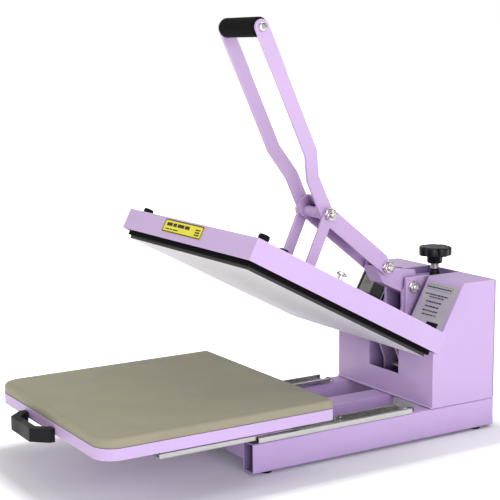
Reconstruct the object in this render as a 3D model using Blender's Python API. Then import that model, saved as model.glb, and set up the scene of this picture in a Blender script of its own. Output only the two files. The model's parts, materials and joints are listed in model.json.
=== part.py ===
"""Clamshell heat press with a slide-out lower platen.

The base is two rails with a sheet-metal housing on their rear half. The lower platen rides
on a pair of ball-bearing slides. The heated upper platen turns on two bolts between lugs in
the housing's slot, and a long lever, pinned to posts on the platen, works it through a link
that is held at the back by a screw-adjusted pressure block.

Lengths below are in millimetres. Y runs from the rails' front ends (0) to their rear ends,
Z from the rails' underside, and X from the machine's middle to its right-hand side.
The rest pose is the open press with the lower platen pulled out.
"""
import math

import bmesh
import bpy
from mathutils import Matrix, Vector

MM = 0.001
GAP = 0.3                      # clearance left between pieces that touch

# ---- driving dimensions -------------------------------------------------------------------
FOOT_HEIGHT = 4.0
FRAME_SHIFT_Y = -88.58         # puts the frame's origin under the middle of the whole machine

BASE_LENGTH = 480.0
BASE_HALF_WIDTH = 131.0
RAIL_WIDTH = 29.0
RAIL_HEIGHT = 47.0
RAIL_WALL = 2.0

SLIDE_WIDTH = 35.0
SLIDE_HEIGHT = 9.0
SLIDE_FRONT = 10.6
SLIDE_REAR = 305.0
SLIDE_INNER_FRONT = -155.0
SLIDE_INNER_REAR = 75.0
CAGE_FRONT = 20.0
CAGE_REAR = 188.0

HOUSING_FRONT = 346.5
HOUSING_REAR = 478.0
HOUSING_TOP = 250.6
SLANT_BOTTOM = 139.0           # where the front face turns into the slanted console
SLANT_TOP_Y = 410.5
SHEET = 2.0
SLOT_HALF_WIDTH = 40.5
WINDOW_BOTTOM = 88.0

PLATEN_SIZE = 380.0            # working width of both platens
LOWER_FRONT = -276.0
LOWER_DEPTH = 383.0
PAD_TOP = 114.8
PAD_BOTTOM = 100.6
TRAY_BOTTOM = 83.8
TRAY_CORNER = 32.0
PULL_REACH = 31.0

COVER_HALF_WIDTH = 200.0
COVER_FRONT = -49.0            # in the closed pose
COVER_REAR = 343.0
COVER_TOP = 162.2
COVER_HEIGHT = 34.2
CLOSED_GAP = 1.4               # room for the cloth between the closed platens
OPEN_ANGLE = 27.63             # degrees the upper platen is lifted at rest

HINGE = (385.5, 232.0)         # the upper platen's axis
PIVOT_OPEN = (204.0, 369.7)    # lever on the posts, open pose
LINK_PIN = (331.0, 270.0)      # lever to link, open pose
GRIP = (67.1, 665.3)           # middle of the handle grip, open pose
SCREW_Y = 457.0
BLOCK_Z = 197.7                # the link's rear pivot on the pressure block

# X layers of the linkage, from the middle outwards
LINK_OUT = 19.0
LINK_WALL = 4.4
HINGE_ARM = (19.5, 24.2)
HINGE_LUG = (24.5, 29.5)
LEVER_ARM = (22.3, 27.0)
BAR_LOW = 27.3
BAR_HIGH = 50.3
BAR_THICK = 5.7
BAR_WIDTH = 23.6
POST = (33.3, 38.5)
POST_WIDTH = 19.0
POST_LEAN = 6.0                # how far a post's foot stands behind its head

BOLT_RADIUS = 6.0
BOLT_HOLE = 6.3
NUT_ACROSS_FLATS = 17.0

KNOB_RADIUS = 26.2
KNOB_LOBES = 7
TIE_ROD = (452.0, 103.0)       # across the hinge arms' horns, in the closed pose

# (name, x, y, radius, height) of the stub caps on the cover
CAPS = (("cap_front_right", 181.0, -29.0, 8.5, 10.5), ("cap_front_left", -157.0, -38.0, 8.0, 8.0),
        ("cap_side_right", 126.0, 48.0, 8.0, 12.5))

# places on the slanted console: X across, then up the slant and out of it
BUTTONS = ((-106.0, "set_button"), (-66.0, "down_button"))
BUTTON_S = 46.0
SWITCH_S = 40.5
SWITCH_N = 0.4
SWITCH_TILT = -7.0

# ---- materials ----------------------------------------------------------------------------
FINISHES = {
    "lavender_paint": ((0.56, 0.42, 0.76), 0.42, 0.0),
    "lavender_steel_bar": ((0.56, 0.42, 0.76), 0.38, 0.1),
    "zinc_steel": ((0.78, 0.79, 0.80), 0.28, 1.0),
    "chrome_bolt": ((0.72, 0.71, 0.68), 0.16, 1.0),
    "cast_aluminium": ((0.56, 0.56, 0.60), 0.42, 0.6),
    "silicone": ((0.27, 0.26, 0.19), 0.62, 0.0),
    "black_plastic": ((0.016, 0.016, 0.016), 0.42, 0.0),
    "black_rubber": ((0.012, 0.012, 0.012), 0.55, 0.0),
    "black_insulation": ((0.010, 0.010, 0.010), 0.7, 0.0),
    "display_glass": ((0.16, 0.18, 0.15), 0.15, 0.0),
    "yellow_plate": ((0.80, 0.68, 0.05), 0.4, 0.0),
    "grey_plate": ((0.42, 0.42, 0.42), 0.4, 0.3),
    "circuit_board": ((0.02, 0.14, 0.06), 0.5, 0.0),
    "element_steel": ((0.35, 0.34, 0.33), 0.35, 1.0),
}


def material(name):
    """The Principled material of that name, made the first time it is asked for."""
    found = bpy.data.materials.get(name)
    if found:
        return found
    colour, roughness, metallic = FINISHES[name]
    made = bpy.data.materials.new(name)
    made.use_nodes = True
    shader = made.node_tree.nodes["Principled BSDF"]
    shader.inputs["Base Color"].default_value = (*colour, 1.0)
    shader.inputs["Roughness"].default_value = roughness
    shader.inputs["Metallic"].default_value = metallic
    return made


# ---- outlines -----------------------------------------------------------------------------
def circle(a, b, radius, count=20):
    """Outline of a round hole or shaft about (a, b)."""
    turn = 2.0 * math.pi / count
    return [(a + radius * math.cos(turn * i), b + radius * math.sin(turn * i)) for i in range(count)]


def hexagon(a, b, across_flats):
    """Outline of a nut about (a, b)."""
    return circle(a, b, across_flats / math.sqrt(3.0), 6)


def rounded(corners, steps=4):
    """Outline through (a, b, radius) corners, each turned with an arc of its radius."""
    outline = []
    for index, (a, b, radius) in enumerate(corners):
        here = Vector((a, b))
        if radius <= 0.0:
            outline.append((a, b))
            continue
        before = (Vector(corners[index - 1][:2]) - here).normalized()
        after = (Vector(corners[(index + 1) % len(corners)][:2]) - here).normalized()
        half = before.angle(after) / 2.0
        centre = here + (before + after).normalized() * (radius / math.sin(half))
        start = here + before * (radius / math.tan(half)) - centre
        sweep = start.angle_signed(here + after * (radius / math.tan(half)) - centre)
        for step in range(steps + 1):
            turned = Matrix.Rotation(-sweep * step / steps, 2) @ start
            outline.append(tuple(centre + turned))
    return outline


def rectangle(a_low, b_low, a_high, b_high, radius=0.0, steps=3):
    """Upright rectangle with its corners rounded."""
    corners = [(a_low, b_low), (a_high, b_low), (a_high, b_high), (a_low, b_high)]
    return rounded([(a, b, radius) for a, b in corners], steps)


def ribbon(path, thickness):
    """Outline of a bent strip that follows the path, with mitred bends."""
    points = [Vector(point) for point in path]
    left = []
    right = []
    for index, point in enumerate(points):
        sides = []
        if index > 0:
            step = (point - points[index - 1]).normalized()
            sides.append(Vector((-step.y, step.x)))
        if index < len(points) - 1:
            step = (points[index + 1] - point).normalized()
            sides.append(Vector((-step.y, step.x)))
        across = sum(sides, Vector((0.0, 0.0))).normalized()
        reach = thickness / 2.0 / across.dot(sides[0])
        left.append(tuple(point + across * reach))
        right.append(tuple(point - across * reach))
    return left + right[::-1]


def turned(points, degrees, about):
    """The points turned in the YZ plane, positive from +Y towards +Z."""
    angle = math.radians(degrees)
    result = []
    for y, z in points:
        dy = y - about[0]
        dz = z - about[1]
        result.append((about[0] + dy * math.cos(angle) - dz * math.sin(angle),
                       about[1] + dy * math.sin(angle) + dz * math.cos(angle)))
    return result


# ---- solids -------------------------------------------------------------------------------
PLANE = {
    "X": lambda depth, a, b: Vector((depth, a, b)),
    "Y": lambda depth, a, b: Vector((a, depth, b)),
    "Z": lambda depth, a, b: Vector((a, b, depth)),
}


def finish_mesh(bm, name):
    """Closes a bmesh drawn in millimetres into an object drawn in metres."""
    bmesh.ops.remove_doubles(bm, verts=bm.verts, dist=0.002)
    bmesh.ops.recalc_face_normals(bm, faces=bm.faces)
    bmesh.ops.scale(bm, vec=(MM, MM, MM), verts=bm.verts)
    mesh = bpy.data.meshes.new(name)
    bm.to_mesh(mesh)
    bm.free()
    obj = bpy.data.objects.new(name, mesh)
    bpy.context.collection.objects.link(obj)
    return obj


def prism(name, loops, axis, low, high):
    """Solid with the outline loops[0] and the holes loops[1:], extruded along the axis."""
    bm = bmesh.new()
    edges = []
    for loop in loops:
        verts = [bm.verts.new(PLANE[axis](low, a, b)) for a, b in loop]
        for index, vert in enumerate(verts):
            edges.append(bm.edges.new((vert, verts[(index + 1) % len(verts)])))
    filled = bmesh.ops.triangle_fill(bm, edges=edges, use_beauty=True, use_dissolve=False)
    faces = [item for item in filled["geom"] if isinstance(item, bmesh.types.BMFace)]
    grown = bmesh.ops.extrude_face_region(bm, geom=faces)
    moved = [item for item in grown["geom"] if isinstance(item, bmesh.types.BMVert)]
    bmesh.ops.translate(bm, verts=moved, vec=PLANE[axis](high - low, 0.0, 0.0))
    return finish_mesh(bm, name)


def box(name, x_range, y_range, z_range):
    """Plain block, mostly used as a cutter."""
    return prism(name, [rectangle(x_range[0], y_range[0], x_range[1], y_range[1])], "Z", *z_range)


def lathe(name, profile, axis, centre, segments=24, closed=False):
    """Turned solid from (position along the axis, radius) points; the ends meet the axis."""
    bm = bmesh.new()
    along = PLANE[axis](1.0, 0.0, 0.0)
    out = PLANE[axis](0.0, 1.0, 0.0)
    base = PLANE[axis](0.0, *centre)
    verts = [bm.verts.new(base + along * place + out * radius) for place, radius in profile]
    edges = [bm.edges.new(pair) for pair in zip(verts, verts[1:])]
    if closed:
        edges.append(bm.edges.new((verts[-1], verts[0])))
    bmesh.ops.spin(bm, geom=edges + verts, cent=base, axis=along, dvec=(0.0, 0.0, 0.0),
                   angle=2.0 * math.pi, steps=segments, use_merge=True)
    return finish_mesh(bm, name)


def combine(obj, other, operation):
    """Boolean of two objects, kept on the first one; the second is used up."""
    modifier = obj.modifiers.new(operation.lower(), "BOOLEAN")
    modifier.operation = operation
    modifier.solver = "EXACT"
    modifier.object = other
    graph = bpy.context.evaluated_depsgraph_get()
    result = bpy.data.meshes.new_from_object(obj.evaluated_get(graph))
    obj.modifiers.clear()
    spent = obj.data
    obj.data = result
    bpy.data.meshes.remove(spent)
    result.name = obj.name
    bpy.data.objects.remove(other)
    return obj


def cut(obj, *cutters):
    for cutter in cutters:
        combine(obj, cutter, "DIFFERENCE")
    return obj


def join(obj, *others):
    for other in others:
        combine(obj, other, "UNION")
    return obj


def soften(obj, width, segments=1, angle=35.0):
    """Small rounding on the sharp edges."""
    modifier = obj.modifiers.new("edge_rounding", "BEVEL")
    modifier.width = width * MM
    modifier.segments = segments
    modifier.limit_method = "ANGLE"
    modifier.angle_limit = math.radians(angle)
    modifier.use_clamp_overlap = True
    return obj


def place(obj, parent, finish, origin=(0.0, 0.0, 0.0)):
    """Parents the object, moves its origin to that point and gives it its material."""
    obj.data.transform(Matrix.Translation(Vector(origin) * -MM))
    obj.parent = parent
    if parent.name != "platen_axis":
        obj.location = Vector(origin) * MM
    obj.data.materials.clear()
    obj.data.materials.append(material(finish))
    obj.data.shade_smooth()
    obj.data.set_sharp_from_angle(angle=math.radians(32.0))
    return obj


def axis_empty(name, parent, y, z, tilt):
    """Empty at (y, z), turned about X by the tilt; the pieces drawn in its frame are its children."""
    empty = bpy.data.objects.new(name, None)
    bpy.context.collection.objects.link(empty)
    empty.parent = parent
    empty.location = Vector((0.0, y, z)) * MM
    empty.rotation_euler = (math.radians(tilt), 0.0, 0.0)
    return empty


def side(x_range, sign):
    """An X layer on the right (+1) or left (-1) side, low value first."""
    return sorted((x_range[0] * sign, x_range[1] * sign))


SIDES = (("right", 1.0), ("left", -1.0))


def capped_bolt(name, centre, x_low, x_high, nut=7.0, tip=3.0, nut_low=True, nut_high=True):
    """Cross bolt along X; x_low and x_high are the faces that its nuts clamp."""
    y, z = centre
    bolt = prism(name, [circle(y, z, BOLT_RADIUS, 20)], "X", x_low - 0.5, x_high + 0.5)
    washer = 1.2
    for face, outward, wanted in ((x_low, -1.0, nut_low), (x_high, 1.0, nut_high)):
        if not wanted:
            continue
        layers = [
            ([circle(y, z, 10.4, 24)], 0.0, washer),
            ([hexagon(y, z, NUT_ACROSS_FLATS)], washer - 0.4, washer + nut),
            ([circle(y, z, 5.2, 16)], washer + nut - 0.4, washer + nut + tip),
        ]
        for loops, near, far in layers:
            start, end = sorted((face + outward * near, face + outward * far))
            join(bolt, prism("layer", loops, "X", start, end))
    return bolt


# ---- base ---------------------------------------------------------------------------------
def build_base(machine):
    rail_inner = BASE_HALF_WIDTH - RAIL_WIDTH
    for label, sign in SIDES:
        low, high = side((rail_inner, BASE_HALF_WIDTH), sign)
        outline = rectangle(low, 0.0, high, RAIL_HEIGHT, 2.5)
        bore = rectangle(low + RAIL_WALL, RAIL_WALL, high - RAIL_WALL, RAIL_HEIGHT - RAIL_WALL, 1.0)
        place(prism("rail_" + label, [outline, bore], "Y", 0.0, BASE_LENGTH), machine, "lavender_paint")
        middle = (low + high) / 2.0
        for row, y in (("front", 30.0), ("rear", BASE_LENGTH - 30.0)):
            profile = [(-FOOT_HEIGHT, 0.0), (-FOOT_HEIGHT, 10.5), (-GAP, 12.0), (-GAP, 0.0)]
            foot = lathe("foot_" + row + "_" + label, profile, "Z", (middle, y), 20)
            place(foot, machine, "black_rubber")

    reach = rail_inner - GAP
    outline = rectangle(0.0, 16.8, 30.0, RAIL_HEIGHT, 2.0)
    bore = rectangle(2.0, 18.8, 28.0, RAIL_HEIGHT - 2.0, 1.0)
    crossmember = prism("front_crossmember", [outline, bore], "X", -reach, reach)
    place(crossmember, machine, "lavender_paint")

    channel = ribbon([(-20.0, 8.0), (-20.0, 46.0), (20.0, 46.0), (20.0, 8.0)], 2.0)
    place(prism("center_beam", [channel], "Y", 30.0 + GAP, 352.0), machine, "lavender_paint")

    bracket = box("hinge_bracket", (-reach, reach), (352.0 + GAP, BASE_LENGTH - 4.0), (43.0, RAIL_HEIGHT))
    for _, sign in SIDES:
        low, high = side(HINGE_LUG, sign)
        plate = rounded([(370.0, 44.0, 0.0), (425.0, 44.0, 0.0), (425.0, 248.5, 6.0), (370.0, 248.5, 1.0)])
        join(bracket, prism("lug", [plate, circle(*HINGE, BOLT_HOLE)], "X", low, high))
    place(soften(bracket, 0.5), machine, "lavender_steel_bar")


def build_slides(machine):
    """Flat-mounted telescopic slides: outer channel, ball cage and inner channel."""
    outer_middle = BASE_HALF_WIDTH - SLIDE_WIDTH / 2.0
    base = RAIL_HEIGHT + GAP
    half = SLIDE_WIDTH / 2.0 - 0.7
    for label, sign in SIDES:
        middle = outer_middle * sign
        shape = [(middle - half + 2.6, base + SLIDE_HEIGHT - 0.7), (middle - half, base + SLIDE_HEIGHT - 1.6),
                 (middle - half, base + 0.7), (middle + half, base + 0.7),
                 (middle + half, base + SLIDE_HEIGHT - 1.6), (middle + half - 2.6, base + SLIDE_HEIGHT - 0.7)]
        outer = prism("slide_outer_" + label, [ribbon(shape, 1.4)], "Y", SLIDE_FRONT, SLIDE_REAR)
        place(outer, machine, "zinc_steel")

        reach = 13.6
        shape = [(middle - reach, base + 7.4), (middle - reach, base + 2.4),
                 (middle + reach, base + 2.4), (middle + reach, base + 7.4)]
        cage = prism("ball_cage_" + label, [ribbon(shape, 1.0)], "Y", CAGE_FRONT, CAGE_REAR)
        place(cage, machine, "zinc_steel", (0.0, CAGE_FRONT, base))

        reach = 11.2
        shape = [(middle - reach, base + 10.6), (middle - reach, base + 4.2),
                 (middle + reach, base + 4.2), (middle + reach, base + 10.6)]
        inner = prism("slide_inner_" + label, [ribbon(shape, 1.6)], "Y", SLIDE_INNER_FRONT, SLIDE_INNER_REAR)
        place(inner, machine, "zinc_steel", (0.0, LOWER_FRONT, PAD_TOP))


# ---- lower platen -------------------------------------------------------------------------
def build_drawer(machine):
    origin = (0.0, LOWER_FRONT, PAD_TOP)
    half = PLATEN_SIZE / 2.0
    rear = LOWER_FRONT + LOWER_DEPTH
    rear_corner = 6.0

    def plan(inset, front_radius):
        back_radius = max(rear_corner - inset, 1.0)
        return rounded([(-half + inset, LOWER_FRONT + inset, front_radius),
                        (half - inset, LOWER_FRONT + inset, front_radius),
                        (half - inset, rear - inset, back_radius),
                        (-half + inset, rear - inset, back_radius)], 8)

    tray = prism("drawer_tray", [plan(0.0, TRAY_CORNER)], "Z", TRAY_BOTTOM, PAD_BOTTOM - GAP)
    cut(tray, prism("hollow", [plan(2.0, TRAY_CORNER - 2.0)], "Z", TRAY_BOTTOM - 1.0, PAD_BOTTOM - 2.6))
    runner_middle = BASE_HALF_WIDTH - SLIDE_WIDTH / 2.0
    runner_bottom = RAIL_HEIGHT + GAP + 5.3
    for _, sign in SIDES:
        low, high = side((runner_middle - 9.8, runner_middle + 9.8), sign)
        outline = ribbon([(low + 1.0, PAD_BOTTOM - 2.0), (low + 1.0, runner_bottom + 1.0),
                          (high - 1.0, runner_bottom + 1.0), (high - 1.0, PAD_BOTTOM - 2.0)], 2.0)
        join(tray, prism("runner", [outline], "Y", SLIDE_INNER_FRONT + 4.0, SLIDE_INNER_REAR - 2.0))
    place(soften(tray, 0.6), machine, "lavender_paint", origin)

    pad = prism("silicone_pad", [plan(0.4, TRAY_CORNER)], "Z", PAD_BOTTOM, PAD_TOP)
    place(soften(pad, 4.0, 3, 60.0), machine, "silicone", origin)

    place(build_pull(), machine, "black_plastic", origin)


def build_pull():
    """Bow-shaped drawer pull, seen from above as a bar with two splayed legs."""
    middle = -23.0
    face = LOWER_FRONT - GAP
    bow = [(-57.0, face, 0.0), (-57.0, face - 8.0, 3.0), (-36.0, face - PULL_REACH, 4.0),
           (36.0, face - PULL_REACH, 4.0), (57.0, face - 8.0, 3.0), (57.0, face, 0.0),
           (43.0, face, 0.0), (43.0, face - 5.0, 3.0), (29.0, face - PULL_REACH + 12.0, 4.0),
           (-29.0, face - PULL_REACH + 12.0, 4.0), (-43.0, face - 5.0, 3.0), (-43.0, face, 0.0)]
    outline = rounded([(middle + x, y, radius) for x, y, radius in bow], 3)
    return soften(prism("drawer_handle", [outline], "Z", 73.0, 93.5), 1.2, 2)


# ---- housing ------------------------------------------------------------------------------
def slant_profile(inset, low, rear):
    """Side outline of the housing, drawn in from the front, slant and top by the inset."""
    slope = Vector((SLANT_TOP_Y - HOUSING_FRONT, HOUSING_TOP - SLANT_BOTTOM)).normalized()
    front = HOUSING_FRONT + inset
    top = HOUSING_TOP - inset
    shift = Vector((slope.y, -slope.x)) * inset
    start = Vector((HOUSING_FRONT, SLANT_BOTTOM)) + shift
    knee = start.y + (front - start.x) * slope.y / slope.x
    crest = start.x + (top - start.y) * slope.x / slope.y
    return [(front, low), (front, knee), (crest, top), (rear, top), (rear, low)]


def build_housing(machine, console):
    base = RAIL_HEIGHT + GAP
    outline = slant_profile(0.0, base, HOUSING_REAR)
    lip = [(HOUSING_FRONT - 2.4, base), (HOUSING_FRONT - 2.4, base + 2.4), (HOUSING_FRONT, base + 2.4)]
    outline = lip + outline[1:]
    shell = prism("housing_shell", [outline], "X", -BASE_HALF_WIDTH, BASE_HALF_WIDTH)
    cavity = slant_profile(SHEET, base - 10.0, HOUSING_REAR + 10.0)
    for _, sign in SIDES:
        low, high = side((SLOT_HALF_WIDTH + SHEET, BASE_HALF_WIDTH - SHEET), sign)
        cut(shell, prism("tower_hollow", [cavity], "X", low, high))
    well_front = HOUSING_FRONT + SHEET
    well = [(well_front, base - 10.0), (HOUSING_REAR + 10.0, base - 10.0), (HOUSING_REAR + 10.0, 300.0),
            (HOUSING_FRONT - 20.0, 300.0), (HOUSING_FRONT - 20.0, WINDOW_BOTTOM), (well_front, WINDOW_BOTTOM)]
    cut(shell, prism("well", [well], "X", -SLOT_HALF_WIDTH, SLOT_HALF_WIDTH))
    opening = box("switch_opening", (87.0, 111.0), (32.0, 49.0), (-10.0, 10.0))
    opening.data.transform(console.matrix_basis)
    cut(shell, opening)
    place(soften(shell, 0.8), machine, "lavender_paint")

    vents = [rectangle(x, 150.0, x + 4.0, 200.0, 1.9) for x in range(-100, -49, 12)]
    vents += [rectangle(x, 150.0, x + 4.0, 200.0, 1.9) for x in range(52, 103, 12)]
    inlet_hole = rectangle(-104.0, 74.0, -76.0, 96.0, 1.0)
    edge = rectangle(-BASE_HALF_WIDTH, base, BASE_HALF_WIDTH, HOUSING_TOP, 1.5)
    cover = prism("rear_cover", [edge, inlet_hole] + vents, "Y", HOUSING_REAR + GAP, BASE_LENGTH)
    place(cover, machine, "lavender_paint")

    inlet = box("power_inlet", (-103.7, -76.3), (455.0, BASE_LENGTH + 1.0), (74.3, 95.7))
    flange = rectangle(-114.0, 71.0, -66.0, 99.0, 5.0)
    join(inlet, prism("flange", [flange], "Y", BASE_LENGTH + GAP, BASE_LENGTH + 2.6))
    cut(inlet, prism("socket", [rectangle(-100.0, 77.0, -80.0, 93.0, 2.0)], "Y", 464.0, BASE_LENGTH + 10.0))
    place(inlet, machine, "black_plastic")

    board = box("controller_board", (-120.0, -56.0), (430.0, 432.0), (70.0, 190.0))
    join(board, box("transformer", (-110.0, -78.0), (431.0, 458.0), (120.0, 150.0)))
    join(board, box("relay", (-74.0, -60.0), (431.0, 447.0), (84.0, 106.0)))
    place(board, machine, "circuit_board")

    for label, sign in SIDES:
        bolt_in, bolt_out = side((HINGE_ARM[0] + 0.4, HINGE_LUG[1] + GAP), sign)
        bolt = capped_bolt("hinge_bolt_" + label, HINGE, bolt_in, bolt_out, 6.4, 2.4, sign < 0.0, sign > 0.0)
        place(bolt, machine, "chrome_bolt")

    half = SLOT_HALF_WIDTH - GAP
    bridge = box("screw_bridge", (-half, half), (434.0, HOUSING_REAR), (232.0, 238.0))
    cut(bridge, prism("bore", [circle(0.0, SCREW_Y, 8.0)], "Z", 220.0, 250.0))
    place(soften(bridge, 0.5), machine, "lavender_paint")
    bushing = lathe("screw_bushing", [(230.0, 7.7), (238.0 + GAP, 7.7), (238.0 + GAP, 9.0), (247.0, 9.0),
                                      (248.5, 7.4), (252.5, 7.4), (252.5, 5.3), (230.0, 5.3)],
                    "Z", (0.0, SCREW_Y), 24, closed=True)
    place(bushing, machine, "black_plastic")


def build_console(console):
    """Pieces on the slanted faces, drawn flat: X across, Y up the slant, Z out of the face."""
    frame = rectangle(-126.0, 20.0, -46.0, 118.0, 4.0)
    screen = rectangle(-119.0, 72.0, -55.0, 106.0, 1.5)
    holes = [circle(x, BUTTON_S, 7.0) for x, _ in BUTTONS]
    panel = prism("control_panel", [frame, screen] + holes, "Z", GAP, 3.4)
    place(soften(panel, 0.5), console, "black_plastic")
    display = prism("lcd_window", [rectangle(-118.7, 72.3, -55.3, 105.7, 1.4)], "Z", 0.6, 2.8)
    place(display, console, "display_glass")
    for x, name in BUTTONS:
        cap = [(1.9, 0.0), (1.9, 6.6), (4.4, 6.6), (5.0, 5.8), (5.0, 0.0)]
        place(lathe(name, cap, "Z", (x, BUTTON_S), 20), console, "grey_plate", (x, BUTTON_S, 0.0))

    plate = prism("instruction_plate", [rectangle(46.0, 58.0, 125.0, 118.0, 3.0)], "Z", GAP, 1.1)
    place(plate, console, "grey_plate")

    bezel = rectangle(85.5, 29.5, 112.5, 51.0, 2.0)
    opening = rectangle(88.0, 32.5, 110.0, 48.5, 0.5)
    ring = prism("power_switch_body", [bezel, opening], "Z", GAP, 2.6)
    place(soften(ring, 0.4), console, "black_plastic")
    profile = [(33.2, 0.4), (33.2, 1.4), (SWITCH_S, 3.4), (47.8, 1.4), (47.8, 0.4), (SWITCH_S, -5.5)]
    rocker = prism("power_rocker", [profile], "X", 88.4, 109.6)
    place(rocker, console, "black_plastic", (0.0, SWITCH_S, SWITCH_N))
    rocker.rotation_euler = (math.radians(SWITCH_TILT), 0.0, 0.0)


# ---- upper platen -------------------------------------------------------------------------
def build_platen(platen):
    """Drawn level, as it lies on the lower platen; the parent tilts it open."""
    origin = (0.0, *HINGE)
    middle_y = (COVER_FRONT + COVER_REAR) / 2.0
    underside = COVER_TOP - COVER_HEIGHT

    def plan(inset, radius):
        return rectangle(-COVER_HALF_WIDTH + inset, COVER_FRONT + inset,
                         COVER_HALF_WIDTH - inset, COVER_REAR - inset, radius)

    cover = prism("platen_cover", [plan(0.0, 2.5)], "Z", underside, COVER_TOP)
    cut(cover, prism("hollow", [plan(SHEET, 1.0)], "Z", underside - 1.0, COVER_TOP - SHEET))
    place(soften(cover, 1.2, 2), platen, "lavender_paint", origin)

    plate_half = PLATEN_SIZE / 2.0 - 6.0
    plate_bottom = PAD_TOP + CLOSED_GAP
    frame_half = plate_half + 4.0
    frame_bottom = underside - 6.8
    outline = rectangle(-frame_half, middle_y - frame_half, frame_half, middle_y + frame_half, 3.0)
    fit = plate_half + GAP
    opening = rectangle(-fit, middle_y - fit, fit, middle_y + fit, 2.0)
    frame = prism("insulation_frame", [outline, opening], "Z", frame_bottom, underside - GAP)
    place(frame, platen, "black_insulation", origin)

    outline = rectangle(-plate_half, middle_y - plate_half, plate_half, middle_y + plate_half, 3.0)
    heat = prism("heat_plate", [outline], "Z", plate_bottom, underside + 3.0)
    place(soften(heat, 0.8, 2), platen, "cast_aluminium", origin)

    place(build_element(middle_y, underside + 3.0), platen, "element_steel", origin)

    pivot = turned([PIVOT_OPEN], OPEN_ANGLE, HINGE)[0]
    for label, sign in SIDES:
        low, high = side(POST, sign)
        half = POST_WIDTH / 2.0
        foot_y = pivot[0] + POST_LEAN
        outline = rounded([(foot_y - half, COVER_TOP + GAP, 0.0), (foot_y + half, COVER_TOP + GAP, 0.0),
                           (pivot[0] + half, pivot[1] + half, half - 0.1),
                           (pivot[0] - half, pivot[1] + half, half - 0.1)], 6)
        post = prism("post_" + label, [outline, circle(*pivot, BOLT_HOLE)], "X", low, high)
        foot_low, foot_high = side((POST[0] + 2.0, 66.0), sign)
        join(post, box("foot", (foot_low, foot_high), (foot_y - 15.0, foot_y + 15.0),
                       (COVER_TOP + GAP, COVER_TOP + GAP + 4.0)))
        place(soften(post, 0.6), platen, "lavender_steel_bar", origin)

        low, high = side(HINGE_ARM, sign)
        place(build_hinge_arm("hinge_arm_" + label, low, high), platen, "lavender_steel_bar", origin)

    rod_y, rod_z = TIE_ROD
    inner = HINGE_ARM[0] - GAP
    outer = HINGE_ARM[1] - 0.4
    rod = lathe("hinge_tie_rod", [(-outer, 0.0), (-outer, 4.0), (-inner, 4.0), (-inner, 6.5), (inner, 6.5),
                                  (inner, 4.0), (outer, 4.0), (outer, 0.0)], "X", (rod_y, rod_z), 20)
    place(rod, platen, "zinc_steel", origin)

    for name, x, y, radius, height in CAPS:
        profile = [(COVER_TOP + GAP, 0.0), (COVER_TOP + GAP, radius), (COVER_TOP + height - 2.0, radius),
                   (COVER_TOP + height, radius - 2.0), (COVER_TOP + height, 0.0)]
        place(lathe(name, profile, "Z", (x, y), 20), platen, "black_rubber", origin)
    head = [(COVER_TOP + GAP, 0.0), (COVER_TOP + GAP, 4.0), (COVER_TOP + 8.0, 4.0), (COVER_TOP + 8.0, 8.5),
            (COVER_TOP + 10.5, 8.5), (COVER_TOP + 13.5, 5.0), (COVER_TOP + 14.0, 0.0)]
    place(lathe("cover_bolt", head, "Z", (186.0, 119.0), 24), platen, "chrome_bolt", origin)

    label = rectangle(-68.0, COVER_TOP - 24.0, 52.0, COVER_TOP - 2.6, 1.5)
    plate = prism("caution_plate", [label], "Y", COVER_FRONT - GAP - 0.8, COVER_FRONT - GAP)
    place(plate, platen, "yellow_plate", origin)


def build_hinge_arm(name, x_low, x_high):
    """Boomerang plate: cover's rear edge to the hinge bolt, with a horn down to the tie rod."""
    y, z = HINGE
    corners = [(COVER_REAR + GAP, 129.5, 1.0), (385.0, 126.0, 12.0), (401.5, 129.5, 8.0), (446.0, 92.0, 8.0),
               (463.0, 101.0, 8.0), (430.0, 148.0, 20.0), (y + 15.0, z - 6.0, 10.0), (y + 8.0, z + 13.0, 8.0),
               (y - 8.0, z + 13.0, 8.0), (y - 13.0, z - 16.0, 8.0), (389.0, 186.0, 8.0), (365.0, 171.0, 14.0),
               (COVER_REAR + GAP, 160.5, 1.0)]
    loops = [rounded(corners, 3), circle(y, z, BOLT_HOLE), circle(*TIE_ROD, 4.3, 16)]
    return soften(prism(name, loops, "X", x_low, x_high), 0.5)


def build_element(middle_y, floor):
    """Tubular heater bent to and fro over the heat plate."""
    radius = 4.0
    pitch = 48.0
    reach = 150.0
    rows = 7
    centre_z = floor + GAP + radius
    start = middle_y - pitch * (rows - 1) / 2.0
    path = []
    for row in range(rows):
        y = start + row * pitch
        way = 1.0 if row % 2 == 0 else -1.0
        path.append((-reach * way, y))
        path.append((reach * way, y))
        if row < rows - 1:
            for step in range(1, 6):
                angle = math.pi * step / 6.0
                out = way * (reach + pitch / 2.0 * math.sin(angle))
                path.append((out, y + pitch / 2.0 * (1.0 - math.cos(angle))))
    curve = bpy.data.curves.new("element_path", "CURVE")
    curve.dimensions = "3D"
    spline = curve.splines.new("POLY")
    spline.points.add(len(path) - 1)
    for point, (x, y) in zip(spline.points, path):
        point.co = (x, y, centre_z, 1.0)
    curve.bevel_depth = radius
    curve.bevel_resolution = 1
    curve.use_fill_caps = True
    guide = bpy.data.objects.new("element_guide", curve)
    bpy.context.collection.objects.link(guide)
    graph = bpy.context.evaluated_depsgraph_get()
    mesh = bpy.data.meshes.new_from_object(guide.evaluated_get(graph))
    bm = bmesh.new()
    bm.from_mesh(mesh)
    bpy.data.meshes.remove(mesh)
    bpy.data.objects.remove(guide)
    return finish_mesh(bm, "heating_element")


# ---- lever and link -----------------------------------------------------------------------
def direction(start, end):
    step = Vector(end) - Vector(start)
    return step.normalized(), step.length


def along(start, step, distance, offset):
    """Point at a distance along the step from start and offset to its right-hand side, in YZ."""
    side_step = Vector((step.y, -step.x))
    return Vector(start) + step * distance + side_step * offset


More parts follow.
